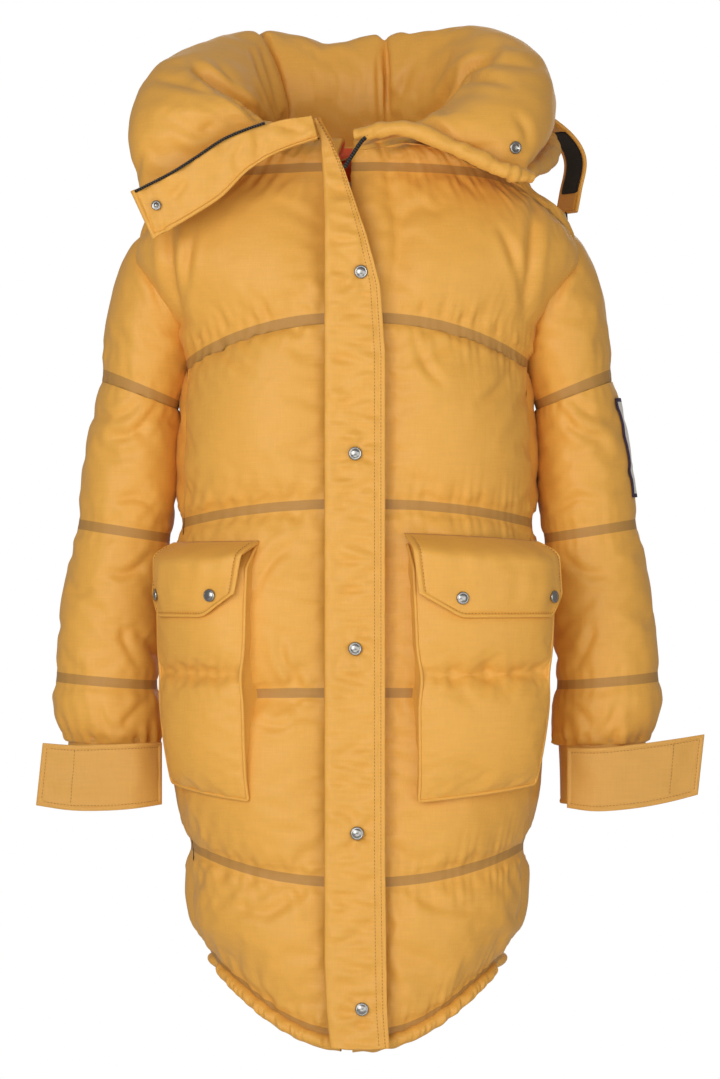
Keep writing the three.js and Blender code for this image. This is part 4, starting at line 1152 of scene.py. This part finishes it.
def storm_flap():
    u, w = rimmed(200, 5.0), rimmed(52, 5.0, both=False)
    uu, ww = np.meshgrid(u, w, indexing="ij")
    points = net(STORM_FLAP, u, w)
    normal = grid_normals(points)
    away = np.minimum((1 - uu) * 200, (1 - ww) * 50)
    dent = 2.0 * np.exp(-(np.linalg.norm(points - [-208, -180, -66], axis=-1) / 9) ** 2)
    soft = (2.2 * ripple(points, 38, 95) + 0.9 * ripple(points, 15, 96)) * np.clip(away / 10, 0, 1)
    points = points + normal * (1.1 * rolled_edge(away) + soft - dent)[..., None]
    obj = grid_object("storm_flap_cloth", points, [SHELL], flip=True)
    obj = thickened(creased(subdivided(obj), STORM_FLAP_CREASES), 3.2)
    dress(obj, "right_wing", ["collar_storm_flap"])


def gathered_roll(name, line, radius, material, seed, taper=0.35):
    """A soft rolled edge, gathered along its length."""
    u = np.linspace(0, 1, 120)
    path = catmull(line, u)
    along = np.stack([u * 190, 0 * u, 0 * u], -1)
    size = radius * (1 + 0.08 * ripple(along, 15, seed) + 0.04 * ripple(along, 7, seed + 1))
    size = size * (taper + (1 - taper) * np.sin(math.pi * np.clip(u, 0.02, 0.98)) ** 0.4)
    obj = tube_object(name, path, size, material, 20)
    points = coords(obj) / MM
    centre = path[np.abs(points[:, None, 0] - path[None, :, 0]).argmin(1)]
    spin = np.arctan2(points[:, 2] - centre[:, 2], points[:, 1] - centre[:, 1])
    slant = ripple(np.stack([points[:, 0] + 9 * spin, 0 * spin, 0 * spin], -1), 15, seed + 2)
    set_coords(obj, (points + unit(points - centre) * (0.07 * radius * slant)[:, None]) * MM)
    return subdivided(obj)


def collar_lip():
    """The rolled front edge of the left wing, and the gathered cloth under its end."""
    lip = gathered_roll("left_collar_lip", COLLAR[-1] + [1, -2, -5], 9, SHELL, 97, 0.6)
    dress(lip, ("coat_body", "left_wing", *WING_BLEND), ())
    under = [[160, -130, -32], [188, -84, -19], [204, -44, -4], [208, -14, 10], [206, 12, 26]]
    # The roll under the wing's end takes the darker shell: painted shade under the collar.
    roll = gathered_roll("left_collar_underside", np.array(under), 11, SHELL_PAINTED_SHADE, 99)
    dress(roll, "left_wing", ())


def collar_zip(name, line, body_name, node, size=1.5):
    """A row of small moulded teeth on a dark tape along a line."""
    path = catmull(line, np.linspace(0.24 if size < 2 else 0, 1, 60))
    tape = tube_object(name, path, size, WEBBING, 6)
    teeth = stitches(f"{name}_teeth", path + [0, -size, 0.6], ZIP_TOOTH, pitch=2.8, radius=size + 0.3)
    dress(joined([tape, teeth]), body_name, [node])


def collar_trim():
    storm_flap()
    right = [p[0] + np.array([0, -3.5, 1]) for p in STORM_FLAP]
    right[-1] = right[-1] + [5, 0, -1.5]
    collar_zip("right_collar_zipper", right, "right_wing", "right_collar_zip")
    left = [[-13, -172, -26], [-4, -176, -12], [6, -178, 2], [19, -174, 12]]
    collar_zip("left_collar_zipper", left, "left_wing", "left_collar_zip", 2.2)
    collar_lip()
    stud = [(4.8, -1.5), (5.2, 0), (4.9, 0.9), (3.4, 1.1), (2.6, 0.8), (2.3, 1.6), (1.6, 2.3), (0.05, 2.5)]
    dress(lathe_object("collar_stud", stud, (-208, -183.5, -66), (0.05, -1, 0.1), METAL),
          "right_wing", ["collar_snap_stud"])
    ring = [(6.2, -1.5), (6.8, 0), (6.4, 1.2), (5.0, 1.6), (3.7, 1.0), (3.2, -0.6), (2.2, -0.9), (0.05, -0.9)]
    puff = bpy.data.objects["left_collar_puff"]
    _, place, normal, _ = puff.closest_point_on_mesh(Vector((172, -178, -7)) * MM)
    seat = np.array(place) / MM + 1.2 * np.array(normal)
    dress(lathe_object("collar_socket", ring, seat, normal, METAL),
          "left_wing", ["collar_snap_socket"])


# ---- Neck band, throat tab, drawcord, loop and label ----
def neck():
    turn = np.linspace(0, 2 * math.pi, 13)[:-1]
    edge = (angle_at_x(-2, 4), 360 + angle_at_x(-44, 4))
    angles = np.linspace(edge[0] + 6, edge[1] - 2, 140)
    rings = [body(angles, 8 + 5 * math.sin(t), 12 - 10 * math.cos(t)) for t in turn]
    obj = subdivided(grid_object("neck_seam_band", np.stack(rings, 1), [SHELL], wrap=True, flip=True))
    dress(obj, "coat_body", ["neck_band"])


TAB = [[188, 12, 50], [222, 22, 24], [236, 26, -2], [231, 30, -34], [227, 34, -57]]
TAB_WIDE = np.array([-0.5, 0.866, 0])  # the direction of the tab's width
TAB_WIDTH = 40


def throat_tab():
    length = route_length(TAB)
    u = rimmed(length, 6.0)
    w = rimmed(TAB_WIDTH, 6.0)
    path = catmull(TAB, u)
    uu, ww = np.meshgrid(u, w, indexing="ij")
    points = path[:, None] + TAB_WIDE * ((ww - 0.5) * TAB_WIDTH)[..., None]
    away = from_edges(uu, ww, length, TAB_WIDTH)
    points = points + grid_normals(points) * (0.5 * rolled_edge(away))[..., None]
    obj = cloth_object("throat_tab_cloth", points, SHELL, 4.0, 0.0)
    dress(obj, "tab", ["throat_tab"])
    inside = catmull(TAB, np.linspace(0.2, 0.78, 14))
    strip = np.stack([inside + TAB_WIDE * k for k in np.linspace(-15, 15, 7)], 1)
    pad = cloth_object("throat_tab_hooks", strip + [-0.5, -3.2, 0], HOOKS, 2.2, 0.0)
    dress(pad, "tab", ["throat_tab_pad"])
    drop = catmull([[227, 34, -56], [228, 38, -78], [227, 44, -122], [225, 46, -174]], np.linspace(0, 1, 40))
    cord = tube_object("draw_cord", drop, 1.25, BLACK, 8)
    dress(cord, "tab", ["drawcord"])


def kept_nodes():
    """Finishes of the CAD pieces that show as they are."""
    looks = {
        "placket_stud_strip": TAPE, "right_zip_tape": WEBBING, "left_zip_tape": WEBBING, "zip_slider": METAL,
        "zip_pull": METAL, "hanger_loop": TAPE, "neck_label": PATCH,
    }
    for node, material in looks.items():
        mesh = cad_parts[node].data
        mesh.materials.clear()
        mesh.materials.append(material)


# ---- Camera, lights and floor ----
def stage():
    scene = bpy.context.scene
    cam = bpy.data.objects.new("camera", bpy.data.cameras.new("camera"))
    scene.collection.objects.link(cam)
    distance, frame_height, plane_y = 4.5, 1.133, -0.12
    cam.data.lens = 36 * distance / frame_height
    cam.location = (0.003, plane_y - distance, -0.412)
    cam.rotation_euler = (math.pi / 2, 0, 0)
    scene.camera = cam

    half, floor_z = 1300, -1300
    corners = [(-half, -half, floor_z), (half, -half, floor_z), (half, half, floor_z), (-half, half, floor_z)]
    floor = mesh_object("floor", corners, [(0, 1, 2, 3)], [plain_material("floor", (0.8, 0.8, 0.8), 0.8)])

    for name, place, size, power in (
        ("key", (-1.3, -2.8, 0.1), 1.8, 43), ("fill", (1.7, -2.7, -0.6), 2.0, 20),
        ("front", (0.2, -3.4, 0.2), 1.2, 8),
        ("top", (0.2, 0.2, 1.9), 1.4, 3), ("back", (0.4, 2.4, 0.6), 1.8, 18),
        ("low", (0.0, -2.4, -1.9), 1.6, 16),
    ):
        light = bpy.data.objects.new(name, bpy.data.lights.new(name, "AREA"))
        light.data.size = size
        light.data.energy = power
        light.location = place
        aim = Vector((0, -0.1, -0.4)) - Vector(place)
        light.rotation_euler = aim.to_track_quat("-Z", "Y").to_euler()
        scene.collection.objects.link(light)

    world = bpy.data.worlds.new("studio")
    world.use_nodes = True
    nodes, links = world.node_tree.nodes, world.node_tree.links
    path = nodes.new("ShaderNodeLightPath")
    strength = nodes.new("ShaderNodeMapRange")
    links.new(path.outputs["Is Camera Ray"], strength.inputs["Value"])
    strength.inputs["To Min"].default_value = 0.3
    strength.inputs["To Max"].default_value = 1.0
    links.new(strength.outputs["Result"], nodes["Background"].inputs["Strength"])
    nodes["Background"].inputs["Color"].default_value = (1, 1, 1, 1)
    scene.world = world
    scene.view_settings.view_transform = "Standard"


body_shell()
hem()
linings()
placket()
zip_teeth()
pocket("right", -1)
pocket("left", 1)
sleeves()
collar()
collar_trim()
neck()
throat_tab()
kept_nodes()
stage()
